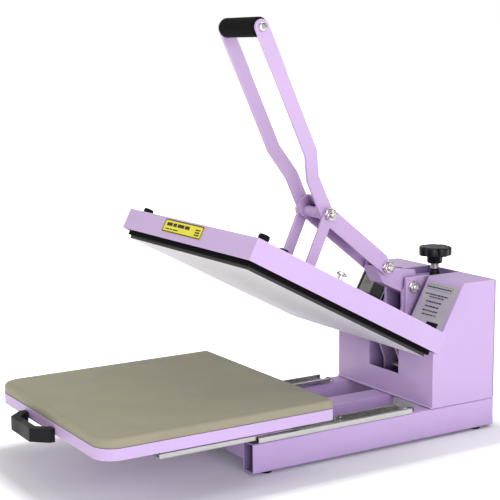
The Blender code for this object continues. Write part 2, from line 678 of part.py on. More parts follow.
def strip_outline(start, end, before, after, half_width):
    """Straight bar about the line start-end, with round ends."""
    step, length = direction(start, end)
    corners = [along(start, step, -before, half_width), along(start, step, length + after, half_width),
               along(start, step, length + after, -half_width), along(start, step, -before, -half_width)]
    return rounded([(*corner, half_width - 0.1) for corner in corners], 6)


def build_lever(machine):
    origin = (0.0, *PIVOT_OPEN)
    step, length = direction(PIVOT_OPEN, GRIP)
    for label, sign in SIDES:
        side_view = strip_outline(PIVOT_OPEN, GRIP, BAR_WIDTH / 2.0, BAR_WIDTH / 2.0, BAR_WIDTH / 2.0)
        bar = prism("lever_bar_" + label, [side_view], "X", *side((20.0, 70.0), sign))
        low = (BAR_LOW + BAR_THICK / 2.0) * sign
        high = (BAR_HIGH + BAR_THICK / 2.0) * sign
        jog = ribbon([(-30.0, low), (66.0, low), (112.0, high), (length + 30.0, high)], BAR_THICK)
        strip = prism("jogged_strip", [jog], "Z", -40.0, 40.0)
        # local X runs up the bar, local Y is the machine's X, local Z is across the bar's width
        turn = Matrix(((0.0, 1.0, 0.0), (step.x, 0.0, step.y), (step.y, 0.0, -step.x))).to_4x4()
        shift = Matrix.Translation((0.0, PIVOT_OPEN[0] * MM, PIVOT_OPEN[1] * MM))
        strip.data.transform(shift @ turn)
        strip.data.flip_normals()
        combine(bar, strip, "INTERSECT")
        cut(bar, prism("pivot_bore", [circle(*PIVOT_OPEN, BOLT_HOLE)], "X", *side((20.0, 70.0), sign)))
        cut(bar, prism("grip_bore", [circle(*GRIP, 4.3, 16)], "X", *side((20.0, 70.0), sign)))
        place(soften(bar, 0.7), machine, "lavender_steel_bar", origin)

    place(build_lever_arm(), machine, "lavender_steel_bar", origin)

    bolt = capped_bolt("pivot_bolt", PIVOT_OPEN, -POST[1] - GAP, POST[1] + GAP, 8.0, 6.0)
    place(bolt, machine, "chrome_bolt", origin)
    bolt = capped_bolt("link_bolt", LINK_PIN, -LEVER_ARM[1] - GAP, LEVER_ARM[1] + GAP, 7.4, 3.6)
    place(bolt, machine, "chrome_bolt", origin)

    outer = BAR_HIGH + BAR_THICK + GAP
    axle = [(-outer - 3.2, 0.0), (-outer - 3.2, 4.5), (-outer - 1.4, 7.5), (-outer, 7.5), (-outer, 4.0),
            (outer, 4.0), (outer, 7.5), (outer + 1.4, 7.5), (outer + 3.2, 4.5), (outer + 3.2, 0.0)]
    place(lathe("grip_axle", axle, "X", GRIP, 20), machine, "black_plastic", origin)

    end = BAR_HIGH - 0.4
    profile = [(-end, 4.4), (-end, 12.6), (-end + 2.6, 15.3), (end - 2.6, 15.3), (end, 12.6), (end, 4.4)]
    grip = lathe("handle_grip", profile, "X", GRIP, 32, closed=True)
    place(grip, machine, "black_rubber", (0.0, *GRIP))


def build_lever_arm():
    """Bent channel, open below: along the bars' foot, over the pivot and back to the link pin."""
    up, _ = direction(PIVOT_OPEN, GRIP)
    back, reach = direction(PIVOT_OPEN, LINK_PIN)
    top = 15.5
    bottom = -12.0
    foot = 24.0

    def bent(rise, low, end_reach, foot_reach):
        """Outline between the offsets low and rise from the pin line; rise is the back side."""
        bend = (up - back).normalized()
        crook = Vector((bend.y, -bend.x))
        scale = 1.0 / abs(crook.dot(Vector((back.y, -back.x))))
        points = [along(PIVOT_OPEN, up, foot_reach, rise), Vector(PIVOT_OPEN) + crook * rise * scale,
                  along(PIVOT_OPEN, back, end_reach, -rise), along(PIVOT_OPEN, back, end_reach, -low),
                  Vector(PIVOT_OPEN) + crook * low * scale, along(PIVOT_OPEN, up, foot_reach, low)]
        return points

    outer = bent(top, bottom, reach, foot)
    tip = along(LINK_PIN, back, 11.5, -3.0)
    heel = along(LINK_PIN, back, 9.0, -bottom)
    shoulder = along(PIVOT_OPEN, back, reach - 13.0, -top)
    corners = [(*outer[0], 3.0), (*outer[1], 3.0), (*shoulder, 2.0), (*tip, 6.0),
               (*heel, 7.0), (*outer[4], 3.0), (*outer[5], 13.0)]
    arm = prism("lever_arm", [rounded(corners, 4)], "X", -LEVER_ARM[1], LEVER_ARM[1])
    inside = LEVER_ARM[0]
    channel = bent(top - 4.5, bottom - 12.0, reach + 40.0, foot + 20.0)
    cut(arm, prism("channel", [[tuple(point) for point in channel]], "X", -inside, inside))
    fork = [along(PIVOT_OPEN, back, reach - 48.0, -30.0), along(PIVOT_OPEN, back, reach + 40.0, -30.0),
            along(PIVOT_OPEN, back, reach + 40.0, 30.0), along(PIVOT_OPEN, back, reach - 48.0, 30.0)]
    cut(arm, prism("fork", [[tuple(point) for point in fork]], "X", -inside, inside))
    join(arm, prism("pivot_tube", [circle(*PIVOT_OPEN, 9.0, 24)], "X", -inside - 1.0, inside + 1.0))
    for centre in (PIVOT_OPEN, LINK_PIN):
        cut(arm, prism("bore", [circle(*centre, BOLT_HOLE)], "X", -60.0, 60.0))
    return soften(arm, 0.6)


def build_link(machine):
    """Channel from the lever's pin back to the pressure block, webbed in front and below."""
    y, z = LINK_PIN
    corners = [(317.0, 264.0, 1.5), (330.5, 241.5, 2.0), (446.0, 186.6, 12.0), (472.0, 186.0, 12.0),
               (469.0, 209.0, 12.0), (400.0, 246.0, 4.0), (397.5, 258.5, 1.5), (355.0, 265.0, 6.0),
               (y + 9.0, z + 12.0, 8.0), (y - 9.0, z + 11.5, 8.0)]
    bar = prism("link_channel", [rounded(corners, 4)], "X", -LINK_OUT, LINK_OUT)
    inside = LINK_OUT - LINK_WALL
    hollow = [(322.5, 264.5), (333.5, 245.5), (425.0, 202.0), (425.0, 150.0), (500.0, 150.0), (500.0, 320.0),
              (300.0, 320.0), (310.0, 285.0)]
    cut(bar, prism("hollow", [hollow], "X", -inside, inside))
    cut(bar, prism("pin_bore", [circle(y, z, BOLT_HOLE)], "X", -60.0, 60.0))
    cut(bar, prism("block_bore", [circle(SCREW_Y, BLOCK_Z, 10.0)], "X", -60.0, 60.0))
    place(soften(bar, 0.6), machine, "lavender_steel_bar", (0.0, y, z))


# ---- pressure screw -----------------------------------------------------------------------
def build_screw(machine):
    origin = (0.0, SCREW_Y, BLOCK_Z)
    thread = [(189.0, 0.0), (189.0, 4.0), (190.0, 5.0), (252.8, 5.0), (252.8, 7.0)]
    groove = 253.0
    while groove < 260.5:
        thread += [(groove + 0.8, 7.5), (groove + 1.6, 6.8)]
        groove += 1.6
    thread += [(262.2, 7.5), (262.2, 0.0)]
    place(lathe("pressure_screw", thread, "Z", (0.0, SCREW_Y), 20), machine, "zinc_steel", origin)

    count = 12 * KNOB_LOBES
    outline = []
    for index in range(count):
        angle = 2.0 * math.pi * index / count
        radius = KNOB_RADIUS + 1.8 * math.cos(KNOB_LOBES * angle)
        outline.append((radius * math.cos(angle), SCREW_Y + radius * math.sin(angle)))
    head = soften(prism("pressure_knob", [outline], "Z", 274.0, 290.0), 2.4, 3, 50.0)
    hub = [(262.5, 0.0), (262.5, 11.6), (264.0, 12.8), (275.0, 12.8), (275.0, 0.0)]
    join(head, lathe("hub", hub, "Z", (0.0, SCREW_Y), 24))
    place(head, machine, "black_plastic", origin)

    body = box("pressure_block", (-14.2, 14.2), (SCREW_Y - 11.0, SCREW_Y + 11.0),
               (BLOCK_Z - 6.5, BLOCK_Z + 10.5))
    join(body, prism("trunnion", [circle(SCREW_Y, BLOCK_Z, 4.0, 16)], "X", -18.7, 18.7))
    cut(body, prism("thread_bore", [circle(0.0, SCREW_Y, 5.3)], "Z", 150.0, 230.0))
    place(body, machine, "zinc_steel", origin)


# ---- the machine --------------------------------------------------------------------------
def build():
    for obj in list(bpy.data.objects):
        bpy.data.objects.remove(obj)

    machine = axis_empty("machine", None, FRAME_SHIFT_Y, FOOT_HEIGHT, 0.0)
    slope = math.degrees(math.atan2(HOUSING_TOP - SLANT_BOTTOM, SLANT_TOP_Y - HOUSING_FRONT))
    console = axis_empty("console_face", machine, HOUSING_FRONT, SLANT_BOTTOM, slope)
    platen = axis_empty("platen_axis", machine, *HINGE, -OPEN_ANGLE)

    build_base(machine)
    build_slides(machine)
    build_drawer(machine)
    build_housing(machine, console)
    build_console(console)
    build_platen(platen)
    build_lever(machine)
    build_link(machine)
    build_screw(machine)


build()
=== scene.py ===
"""Looks of the clamshell heat press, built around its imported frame.

Lengths are metres in the row frame. The platen's pieces are drawn as they lie when the press
is closed and turned open about its hinge, and the console's pieces are drawn flat on the slant.
"""

import itertools
import json
import math
import random

import bmesh
import bpy
from mathutils import Matrix, Vector, noise


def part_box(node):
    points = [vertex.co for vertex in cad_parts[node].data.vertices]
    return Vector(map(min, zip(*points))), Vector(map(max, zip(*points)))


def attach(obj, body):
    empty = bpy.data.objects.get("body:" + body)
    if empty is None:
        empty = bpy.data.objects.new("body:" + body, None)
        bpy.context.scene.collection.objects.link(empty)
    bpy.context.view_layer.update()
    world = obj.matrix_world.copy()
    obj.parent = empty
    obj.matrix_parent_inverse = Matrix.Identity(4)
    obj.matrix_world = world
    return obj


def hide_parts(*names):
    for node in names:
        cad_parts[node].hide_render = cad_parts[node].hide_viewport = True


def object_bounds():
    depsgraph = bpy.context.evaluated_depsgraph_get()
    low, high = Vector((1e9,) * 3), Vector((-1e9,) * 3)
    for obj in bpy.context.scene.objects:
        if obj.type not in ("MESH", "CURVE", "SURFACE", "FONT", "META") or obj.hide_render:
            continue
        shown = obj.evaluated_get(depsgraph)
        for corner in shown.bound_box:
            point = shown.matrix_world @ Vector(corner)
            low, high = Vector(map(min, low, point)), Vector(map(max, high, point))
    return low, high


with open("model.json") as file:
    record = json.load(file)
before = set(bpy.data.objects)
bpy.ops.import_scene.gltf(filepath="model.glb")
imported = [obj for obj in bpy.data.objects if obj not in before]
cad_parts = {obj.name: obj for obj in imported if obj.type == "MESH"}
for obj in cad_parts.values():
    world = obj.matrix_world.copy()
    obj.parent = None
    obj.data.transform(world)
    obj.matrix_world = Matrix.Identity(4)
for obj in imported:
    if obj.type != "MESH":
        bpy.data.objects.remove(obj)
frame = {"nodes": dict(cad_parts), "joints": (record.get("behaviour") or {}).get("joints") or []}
cad_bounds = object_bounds()

MM = 0.001

# ---- sizes shared with the frame's fasteners ------------------------------------------------
WASHER = 1.2 * MM
NUT_FLATS = 17.0 * MM
BOLT_RADIUS = 6.0 * MM
THREAD_RADIUS = 5.3 * MM
THREAD_PITCH = 1.25 * MM

# ---- colours, as display values -------------------------------------------------------------
LAVENDER = (200, 174, 217)
LAVENDER_BAR = (203, 177, 214)
WORN_AND_HIGHLIT_EDGE = (244, 230, 250)
PAINTED_HOLLOW_SHADE = (72, 46, 112)
SILICONE = (154, 150, 124)
YELLOW = (238, 226, 44)
INK = (12, 11, 10)
PLATE_GREY = (190, 188, 190)
LCD_GREY = (118, 118, 112)
HEAT_PLATE = (238, 237, 242)
HEAT_PLATE_SIDES = (52, 48, 48)
LAMINATE = (24, 92, 52)
TRACK = (58, 138, 80)
NICKEL = (226, 224, 219)
DULL_NICKEL = (150, 145, 134)


# ---- places ---------------------------------------------------------------------------------
def joint(name):
    """The joint row of that name."""
    return next(row for row in frame["joints"] if row["name"] == name)


def axis_frame(point, direction):
    """Frame at the point whose Z runs along the direction."""
    turn = Vector(direction).to_track_quat("Z", "Y").to_matrix().to_4x4()
    return Matrix.Translation(point) @ turn


def platen_frame():
    """Takes a point of the closed upper platen to where it is at rest."""
    row = joint("platen_hinge")
    hinge = Vector(row["pos_m"])
    turn = Matrix.Rotation(-math.radians(row["range_deg"][1]), 4, "X")
    return Matrix.Translation(hinge) @ turn @ Matrix.Translation(-hinge)


def console_frame():
    """X across the slanted console, Y up it and Z out of it."""
    out = -Vector(joint("set_press")["axis"]).normalized()
    across = Vector((1.0, 0.0, 0.0))
    up = out.cross(across)
    turn = Matrix((across, up, out)).transposed().to_4x4()
    low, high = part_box("set_button")
    middle = (low + high) / 2.0
    return Matrix.Translation((0.0, middle.y, middle.z)) @ turn


PLATEN = platen_frame()
CONSOLE = console_frame()
SIDES = (("right", 1.0), ("left", -1.0))


def span(node, place):
    """Lowest and highest corners of a CAD node in a local frame."""
    inverse = place.inverted()
    points = [inverse @ vertex.co for vertex in frame["nodes"][node].data.vertices]
    low = Vector([min(point[axis] for point in points) for axis in range(3)])
    high = Vector([max(point[axis] for point in points) for axis in range(3)])
    return low, high


# ---- materials ------------------------------------------------------------------------------
def linear(display):
    """Scene colour of a display colour given as 0 to 255."""
    result = []
    for value in display:
        value /= 255.0
        result.append(value / 12.92 if value <= 0.04045 else ((value + 0.055) / 1.055) ** 2.4)
    return (*result, 1.0)


def scaled(colour, factor):
    return (*[min(value * factor, 1.0) for value in colour[:3]], 1.0)


class Graph:
    """One new material's node tree, with short ways to add and join nodes."""

    def __init__(self, name):
        self.material = bpy.data.materials.new(name)
        self.material.use_nodes = True
        self.tree = self.material.node_tree
        self.shader = self.tree.nodes["Principled BSDF"]
        self.place = self.tree.nodes.new("ShaderNodeTexCoord").outputs["Object"]

    def feed(self, target, value):
        """Joins a socket or sets a plain value."""
        if isinstance(value, bpy.types.NodeSocket):
            self.tree.links.new(value, target)
        else:
            target.default_value = value

    def set(self, name, value):
        self.feed(self.shader.inputs[name], value)

    def noise(self, scale, detail=2.0, stretch=(1.0, 1.0, 1.0), roughness=0.5):
        """Noise with about scale features to the metre."""
        mapping = self.tree.nodes.new("ShaderNodeMapping")
        mapping.inputs["Scale"].default_value = stretch
        self.tree.links.new(self.place, mapping.inputs["Vector"])
        texture = self.tree.nodes.new("ShaderNodeTexNoise")
        texture.inputs["Scale"].default_value = scale
        texture.inputs["Detail"].default_value = detail
        texture.inputs["Roughness"].default_value = roughness
        self.tree.links.new(mapping.outputs["Vector"], texture.inputs["Vector"])
        return texture.outputs["Fac"]

    def cells(self, scale):
        """Distance to the nearest of random points, about scale to the metre."""
        texture = self.tree.nodes.new("ShaderNodeTexVoronoi")
        texture.inputs["Scale"].default_value = scale
        self.tree.links.new(self.place, texture.inputs["Vector"])
        return texture.outputs["Distance"]

    def spread(self, value, low, high, start=0.3, end=0.7):
        """The value between start and end taken to low..high, clamped."""
        node = self.tree.nodes.new("ShaderNodeMapRange")
        node.clamp = True
        for name, amount in (("From Min", start), ("From Max", end), ("To Min", low), ("To Max", high)):
            node.inputs[name].default_value = amount
        self.feed(node.inputs["Value"], value)
        return node.outputs["Result"]

    def times(self, first, second):
        node = self.tree.nodes.new("ShaderNodeMath")
        node.operation = "MULTIPLY"
        self.feed(node.inputs[0], first)
        self.feed(node.inputs[1], second)
        return node.outputs["Value"]

    def blend(self, factor, first, second):
        """Colour between the first and the second."""
        node = self.tree.nodes.new("ShaderNodeMix")
        node.data_type = "RGBA"
        self.feed(node.inputs["Factor"], factor)
        self.feed(node.inputs[6], first)
        self.feed(node.inputs[7], second)
        return node.outputs[2]

    def along(self, direction, axis):
        """1 where the direction runs along the axis either way, 0 where it leans over 60 degrees."""
        dot = self.tree.nodes.new("ShaderNodeVectorMath")
        dot.operation = "DOT_PRODUCT"
        self.tree.links.new(direction, dot.inputs[0])
        dot.inputs[1].default_value = axis
        size = self.tree.nodes.new("ShaderNodeMath")
        size.operation = "ABSOLUTE"
        self.tree.links.new(dot.outputs["Value"], size.inputs[0])
        return self.spread(size.outputs["Value"], 0.0, 1.0, 0.5, 0.8)

    def hollow_shade(self, reach):
        """Painted-shade mask: about 1 deep in hollows narrower than the reach, 0 on open ground."""
        shade = self.tree.nodes.new("ShaderNodeAmbientOcclusion")
        shade.samples = 6
        shade.inputs["Distance"].default_value = reach
        return self.spread(shade.outputs["AO"], 1.0, 0.0, 0.05, 0.6)

    def edges(self, radius):
        """About 1 on edges sharper than the radius, 0 on flat ground."""
        soft = self.tree.nodes.new("ShaderNodeBevel")
        soft.samples = 4
        soft.inputs["Radius"].default_value = radius
        geometry = self.tree.nodes.new("ShaderNodeNewGeometry")
        dot = self.tree.nodes.new("ShaderNodeVectorMath")
        dot.operation = "DOT_PRODUCT"
        self.tree.links.new(soft.outputs["Normal"], dot.inputs[0])
        self.tree.links.new(geometry.outputs["Normal"], dot.inputs[1])
        return self.spread(dot.outputs["Value"], 1.0, 0.0, 0.86, 0.995)

    def outside(self, half):
        """Distance on the ground from a centred rectangle of those half sides."""
        value = self.place
        steps = (("ABSOLUTE", None), ("SUBTRACT", half), ("MAXIMUM", (0.0, 0.0, 0.0)), ("LENGTH", None))
        for operation, other in steps:
            node = self.tree.nodes.new("ShaderNodeVectorMath")
            node.operation = operation
            self.tree.links.new(value, node.inputs[0])
            if other:
                node.inputs[1].default_value = other
            value = node.outputs["Value" if operation == "LENGTH" else "Vector"]
        return value

    def bump(self, *layers):
        """Bump from (height, depth in metres) layers, the broadest first."""
        normal = None
        for height, depth in layers:
            node = self.tree.nodes.new("ShaderNodeBump")
            node.inputs["Strength"].default_value = 1.0
            node.inputs["Distance"].default_value = depth
            self.tree.links.new(height, node.inputs["Height"])
            if normal:
                self.tree.links.new(normal, node.inputs["Normal"])
            normal = node.outputs["Normal"]
        self.tree.links.new(normal, self.shader.inputs["Normal"])


def powder_coat(name, display, gloss):
    """Sprayed and baked paint: orange peel, fine grain, edges paler from wear and a painted highlight,
    painted shade in hollows.
    """
    graph = Graph(name)
    colour = linear(display)
    broad = graph.noise(6.0, 2.0)
    peel = graph.noise(330.0, 2.0)
    grain = graph.noise(1900.0, 1.0)
    tint = graph.blend(graph.spread(broad, 0.0, 1.0), scaled(colour, 0.955), scaled(colour, 1.03))
    fleck = graph.spread(grain, 0.0, 0.35, 0.62, 0.78)
    tint = graph.blend(fleck, tint, scaled(colour, 0.8))
    # Painted highlight and wear: sharp edges lightened in patches towards a pale lavender.
    rubbed_and_highlit = graph.times(graph.edges(0.0013), graph.spread(graph.noise(60.0, 4.0), 0.4, 0.95))
    tint = graph.blend(rubbed_and_highlit, tint, linear(WORN_AND_HIGHLIT_EDGE))
    # Painted shade: hollows darkened towards deep purple by ambient occlusion.
    tint = graph.blend(graph.times(graph.hollow_shade(0.09), 0.85), tint, linear(PAINTED_HOLLOW_SHADE))
    graph.set("Base Color", tint)
    graph.set("Roughness", graph.spread(peel, gloss - 0.05, gloss + 0.08))
    graph.set("Coat Weight", 0.15)
    graph.set("Coat Roughness", 0.2)
    graph.bump((peel, 0.00010), (grain, 0.000025))
    return graph.material


def rolled_steel(name, display, gloss, lengthways=(1.0, 0.02, 1.0)):
    """Bright plated strip with drawing marks along Y."""
    graph = Graph(name)
    colour = linear(display)
    marks = graph.noise(1500.0, 3.0, lengthways)
    cloud = graph.noise(35.0, 3.0)
    tint = graph.blend(graph.spread(marks, 0.0, 1.0), scaled(colour, 0.86), colour)
    tint = graph.blend(graph.spread(cloud, 0.0, 0.3, 0.5, 0.75), tint, scaled(colour, 0.72))
    graph.set("Base Color", tint)
    graph.set("Metallic", 1.0)
    graph.set("Roughness", graph.spread(marks, gloss - 0.07, gloss + 0.12))
    graph.bump((marks, 0.000012))
    return graph.material


def bright_bolt(name):
    """Nickel-plated fastener: nearly a mirror, with fine scuffs and dull patches."""
    graph = Graph(name)
    scuff = graph.noise(900.0, 4.0, (1.0, 0.25, 1.0))
    cloud = graph.noise(160.0, 2.0)
    tint = graph.blend(graph.spread(cloud, 0.0, 0.5), linear(NICKEL), linear(DULL_NICKEL))
    graph.set("Base Color", tint)
    graph.set("Metallic", 1.0)
    graph.set("Roughness", graph.spread(scuff, 0.04, 0.16))
    graph.bump((scuff, 0.000010))
    return graph.material


def moulded(name, display, gloss, grain_size, depth, shine):
    """Moulded black plastic with a spark-eroded grain, duller where it is handled, with a painted grey
    highlight on its edges.
    """
    graph = Graph(name)
    colour = linear(display)
    grain = graph.noise(grain_size, 3.0)
    handled = graph.noise(22.0, 2.0)
    tint = graph.blend(graph.spread(grain, 0.0, 1.0), colour, scaled(colour, 1.9))
    # Painted highlight: sharp edges lightened towards grey.
    painted_edge_highlight = graph.times(graph.edges(0.0009), 0.3)
    graph.set("Base Color", graph.blend(painted_edge_highlight, tint, linear((66, 66, 68))))
    graph.set("Specular IOR Level", shine)
    graph.set("Roughness", graph.spread(handled, gloss - 0.08, gloss + 0.12))
    graph.bump((grain, depth))
    return graph.material


def foam(name):
    """Closed-cell foam sleeve: matt, pitted, with dust in its pores."""
    graph = Graph(name)
    pores = graph.cells(1100.0)
    lumps = graph.noise(260.0, 3.0)
    colour = linear((16, 16, 16))
    tint = graph.blend(graph.spread(pores, 0.0, 1.0, 0.1, 0.6), scaled(colour, 0.4), scaled(colour, 1.7))
    graph.set("Base Color", tint)
    graph.set("Specular IOR Level", 0.06)
    graph.set("Roughness", graph.spread(lumps, 0.78, 0.95))
    graph.set("Sheen Weight", 0.012)
    graph.set("Sheen Roughness", 0.5)
    graph.bump((lumps, 0.00022), (pores, 0.00012))
    return graph.material


def silicone_foam(name):
    """Khaki silicone sponge with a fine cloth print and faint mottling."""
    graph = Graph(name)
    colour = linear(SILICONE)
    mottle = graph.noise(14.0, 4.0)
    weave = graph.noise(1300.0, 2.0)
    pits = graph.spread(graph.cells(700.0), 0.0, 1.0, 0.04, 0.16)
    tint = graph.blend(graph.spread(mottle, 0.0, 1.0), scaled(colour, 0.93), scaled(colour, 1.05))
    tint = graph.blend(graph.spread(weave, 0.0, 0.3), tint, scaled(colour, 0.82))
    graph.set("Base Color", tint)
    graph.set("Roughness", graph.spread(weave, 0.5, 0.68))
    graph.set("Sheen Weight", 0.08)
    graph.bump((weave, 0.00004), (pits, 0.00003))
    return graph.material


def cast_plate(name, face):
    """Coated heat plate: even light grey with a fine cast grain and faint wipe marks. What doesn't
    look along the face's direction is coloured near black."""
    graph = Graph(name)
    colour = linear(HEAT_PLATE)
    grain = graph.noise(1500.0, 3.0)
    wipes = graph.noise(30.0, 3.0, (1.0, 0.12, 1.0))
    tint = graph.blend(graph.spread(wipes, 0.0, 1.0), scaled(colour, 0.95), scaled(colour, 1.02))
    tint = graph.blend(graph.spread(grain, 0.0, 0.25), tint, scaled(colour, 0.84))
    geometry = graph.tree.nodes.new("ShaderNodeNewGeometry")
    flat = graph.along(geometry.outputs["True Normal"], face)
    # Faces that don't look along the face's direction are coloured near black.
    graph.set("Base Color", graph.blend(flat, linear(HEAT_PLATE_SIDES), tint))
    graph.set("Metallic", 0.15)
    graph.set("Roughness", graph.spread(wipes, 0.42, 0.56))
    graph.bump((grain, 0.00003))
    return graph.material


def printed(name, display, gloss, metallic=0.0):
    """Ink or foil of a label, a little uneven."""
    graph = Graph(name)
    colour = linear(display)
    streaks = graph.noise(700.0, 3.0, (0.03, 1.0, 1.0))
    cloud = graph.noise(45.0, 3.0)
    tint = graph.blend(graph.spread(streaks, 0.0, 1.0), scaled(colour, 0.93), scaled(colour, 1.04))
    graph.set("Base Color", graph.blend(graph.spread(cloud, 0.0, 0.3), tint, scaled(colour, 0.88)))
    graph.set("Metallic", metallic)
    graph.set("Roughness", graph.spread(streaks, gloss - 0.05, gloss + 0.1))
    graph.bump((streaks, 0.000008))
    return graph.material


def glass_window(name):
    """Clear window over a grey-green liquid crystal."""
    graph = Graph(name)
    colour = linear(LCD_GREY)
    cloud = graph.noise(40.0, 2.0)
    smear = graph.noise(260.0, 4.0, (1.0, 0.3, 0.3))
    graph.set("Base Color", graph.blend(graph.spread(cloud, 0.0, 1.0), scaled(colour, 0.85), colour))
    graph.set("Roughness", graph.spread(smear, 0.06, 0.2))
    graph.set("Coat Weight", 0.8)
    graph.set("Coat Roughness", 0.04)
    graph.bump((smear, 0.000006))
    return graph.material


def board_laminate(name):
    """Green laminate with copper tracks showing through the varnish."""
    graph = Graph(name)
    tracks = graph.noise(240.0, 0.0, (1.0, 1.0, 0.15))
    fibre = graph.noise(1600.0, 2.0)
    copper = graph.spread(tracks, 0.0, 1.0, 0.5, 0.54)
    graph.set("Base Color", graph.blend(copper, linear(LAMINATE), linear(TRACK)))
    graph.set("Roughness", graph.spread(fibre, 0.3, 0.5))
    graph.bump((tracks, 0.00004), (fibre, 0.00001))
    return graph.material


def insulation(name):
    """Black compressed fibre between the cover and the heat plate."""
    graph = Graph(name)
    fibre = graph.noise(700.0, 4.0, (0.3, 0.3, 1.0))
    colour = linear((12, 11, 12))
    tint = graph.blend(graph.spread(fibre, 0.0, 1.0), scaled(colour, 0.6), scaled(colour, 1.5))
    graph.set("Base Color", tint)
    graph.set("Specular IOR Level", 0.08)
    graph.set("Roughness", graph.spread(fibre, 0.66, 0.86))
    graph.bump((fibre, 0.00012))
    return graph.material


PLATEN_FACE = PLATEN.to_3x3() @ Vector((0.0, 0.0, 1.0))
FINISH = {
    "lavender_paint": powder_coat("powder_coat", LAVENDER, 0.36),
    "lavender_steel_bar": powder_coat("powder_coat_bar", LAVENDER_BAR, 0.33),
    "zinc_steel": rolled_steel("zinc_plate", (212, 212, 205), 0.24),
    "chrome_bolt": bright_bolt("nickel_plate"),
    "cast_aluminium": cast_plate("coated_casting", PLATEN_FACE),
    "silicone": silicone_foam("silicone_sponge"),
    "black_plastic": moulded("black_moulding", (15, 15, 17), 0.4, 900.0, 0.00006, 0.2),
    "black_rubber": moulded("black_rubber", (12, 12, 12), 0.6, 1400.0, 0.00005, 0.12),
    "black_insulation": insulation("fibre_board"),
    "display_glass": glass_window("display_window"),
    "yellow_plate": printed("yellow_foil", YELLOW, 0.32),
    "grey_plate": printed("brushed_foil", PLATE_GREY, 0.36, 0.35),
    "circuit_board": board_laminate("board_laminate"),
    "element_steel": rolled_steel("heater_sheath", (128, 122, 116), 0.42, (1.0, 1.0, 1.0)),
}
KNOB_PLASTIC = moulded("knob_moulding", (10, 10, 12), 0.24, 1700.0, 0.00002, 0.3)
GRIP_FOAM = foam("grip_foam")
BLACK_INK = printed("label_ink", INK, 0.4)
SEGMENT_INK = printed("display_segment", (70, 72, 68), 0.3)


# ---- mesh helpers ---------------------------------------------------------------------------
def piece(name, bm, body, material, smooth=35.0):
    """Makes the bmesh into an object that rides on the body; edges over smooth degrees stay sharp."""
    bmesh.ops.recalc_face_normals(bm, faces=bm.faces)
    mesh = bpy.data.meshes.new(name)
    bm.to_mesh(mesh)
    bm.free()
    mesh.shade_smooth()
    mesh.set_sharp_from_angle(angle=math.radians(smooth))
    mesh.materials.append(material)
    obj = bpy.data.objects.new(name, mesh)
    bpy.context.scene.collection.objects.link(obj)
    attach(obj, body)
    return obj


def bridge(bm, low, high):
    """Faces between two rings of vertices; a ring of one vertex is a pole."""
    count = max(len(low), len(high))
    for index in range(count):
        after = (index + 1) % count
        corners = [low[index % len(low)], low[after % len(low)]]
        corners += [high[after % len(high)], high[index % len(high)]]
        distinct = list(dict.fromkeys(corners))
        if len(distinct) > 2:
            bm.faces.new(distinct)


def close(bm, ring):
    """Flat face over the ring, unless it is a pole."""
    if len(ring) > 2:
        bm.faces.new(ring)


def turned(bm, profile, place, segments=48, shape=None):
    """Shell turned about the place's Z from (height, radius) points, closed at both ends.
    shape(angle, radius, height) gives the radius there when the section isn't round."""
    rings = []
    for height, radius in profile:
        if radius == 0.0:
            rings.append([bm.verts.new(place @ Vector((0.0, 0.0, height)))])
            continue
        ring = []
        for index in range(segments):
            angle = 2.0 * math.pi * index / segments
            reach = shape(angle, radius, height) if shape else radius
            point = Vector((reach * math.cos(angle), reach * math.sin(angle), height))
            ring.append(bm.verts.new(place @ point))
        rings.append(ring)
    for low, high in zip(rings, rings[1:]):
        bridge(bm, low, high)
    close(bm, rings[0])
    close(bm, rings[-1])


def block(bm, place, low, high):
    """Plain cuboid between two corners of the place's frame."""
    corners = itertools.product(*zip(low, high))
    verts = [bm.verts.new(place @ Vector(corner)) for corner in corners]
    for face in ((0, 1, 3, 2), (4, 6, 7, 5), (0, 4, 5, 1), (2, 3, 7, 6), (0, 2, 6, 4), (1, 5, 7, 3)):
        bm.faces.new([verts[index] for index in face])


def arc(height, radius, size, start, end, steps=5):
    """Rounded corner of a profile: points about (height, radius), angles from the height axis."""
    points = []
    for step in range(steps + 1):
        angle = math.radians(start + (end - start) * step / steps)
        points.append((height + size * math.cos(angle), radius + size * math.sin(angle)))
    return points


# ---- frame nodes ----------------------------------------------------------------------------
REPLACED = {"silicone_pad", "pressure_knob", "handle_grip", "grip_axle", "pivot_bolt", "link_bolt",
            "hinge_bolt_right", "hinge_bolt_left", "cover_bolt", "cap_front_right", "cap_front_left",
            "cap_side_right", "instruction_plate"}
EDGE_ROUNDING = 0.35 * MM


def finish_nodes():
    """Gives each frame node its material, welded corners and rounded edges."""
    for name, obj in frame["nodes"].items():
        slot = obj.material_slots[0].material.name
        for material_slot in obj.material_slots:
            material_slot.material = FINISH[slot.split(".")[0]]
        if name in REPLACED:
            continue
        obj.data.shade_smooth()
        weld = obj.modifiers.new("weld", "WELD")
        weld.merge_threshold = 0.01 * MM
        rounding = obj.modifiers.new("rounding", "BEVEL")
        rounding.width = EDGE_ROUNDING
        rounding.segments = 2
        rounding.limit_method = "ANGLE"
        rounding.angle_limit = math.radians(50.0)
        rounding.use_clamp_overlap = True
        normals = obj.modifiers.new("normals", "WEIGHTED_NORMAL")
        normals.weight = 50
        normals.keep_sharp = False


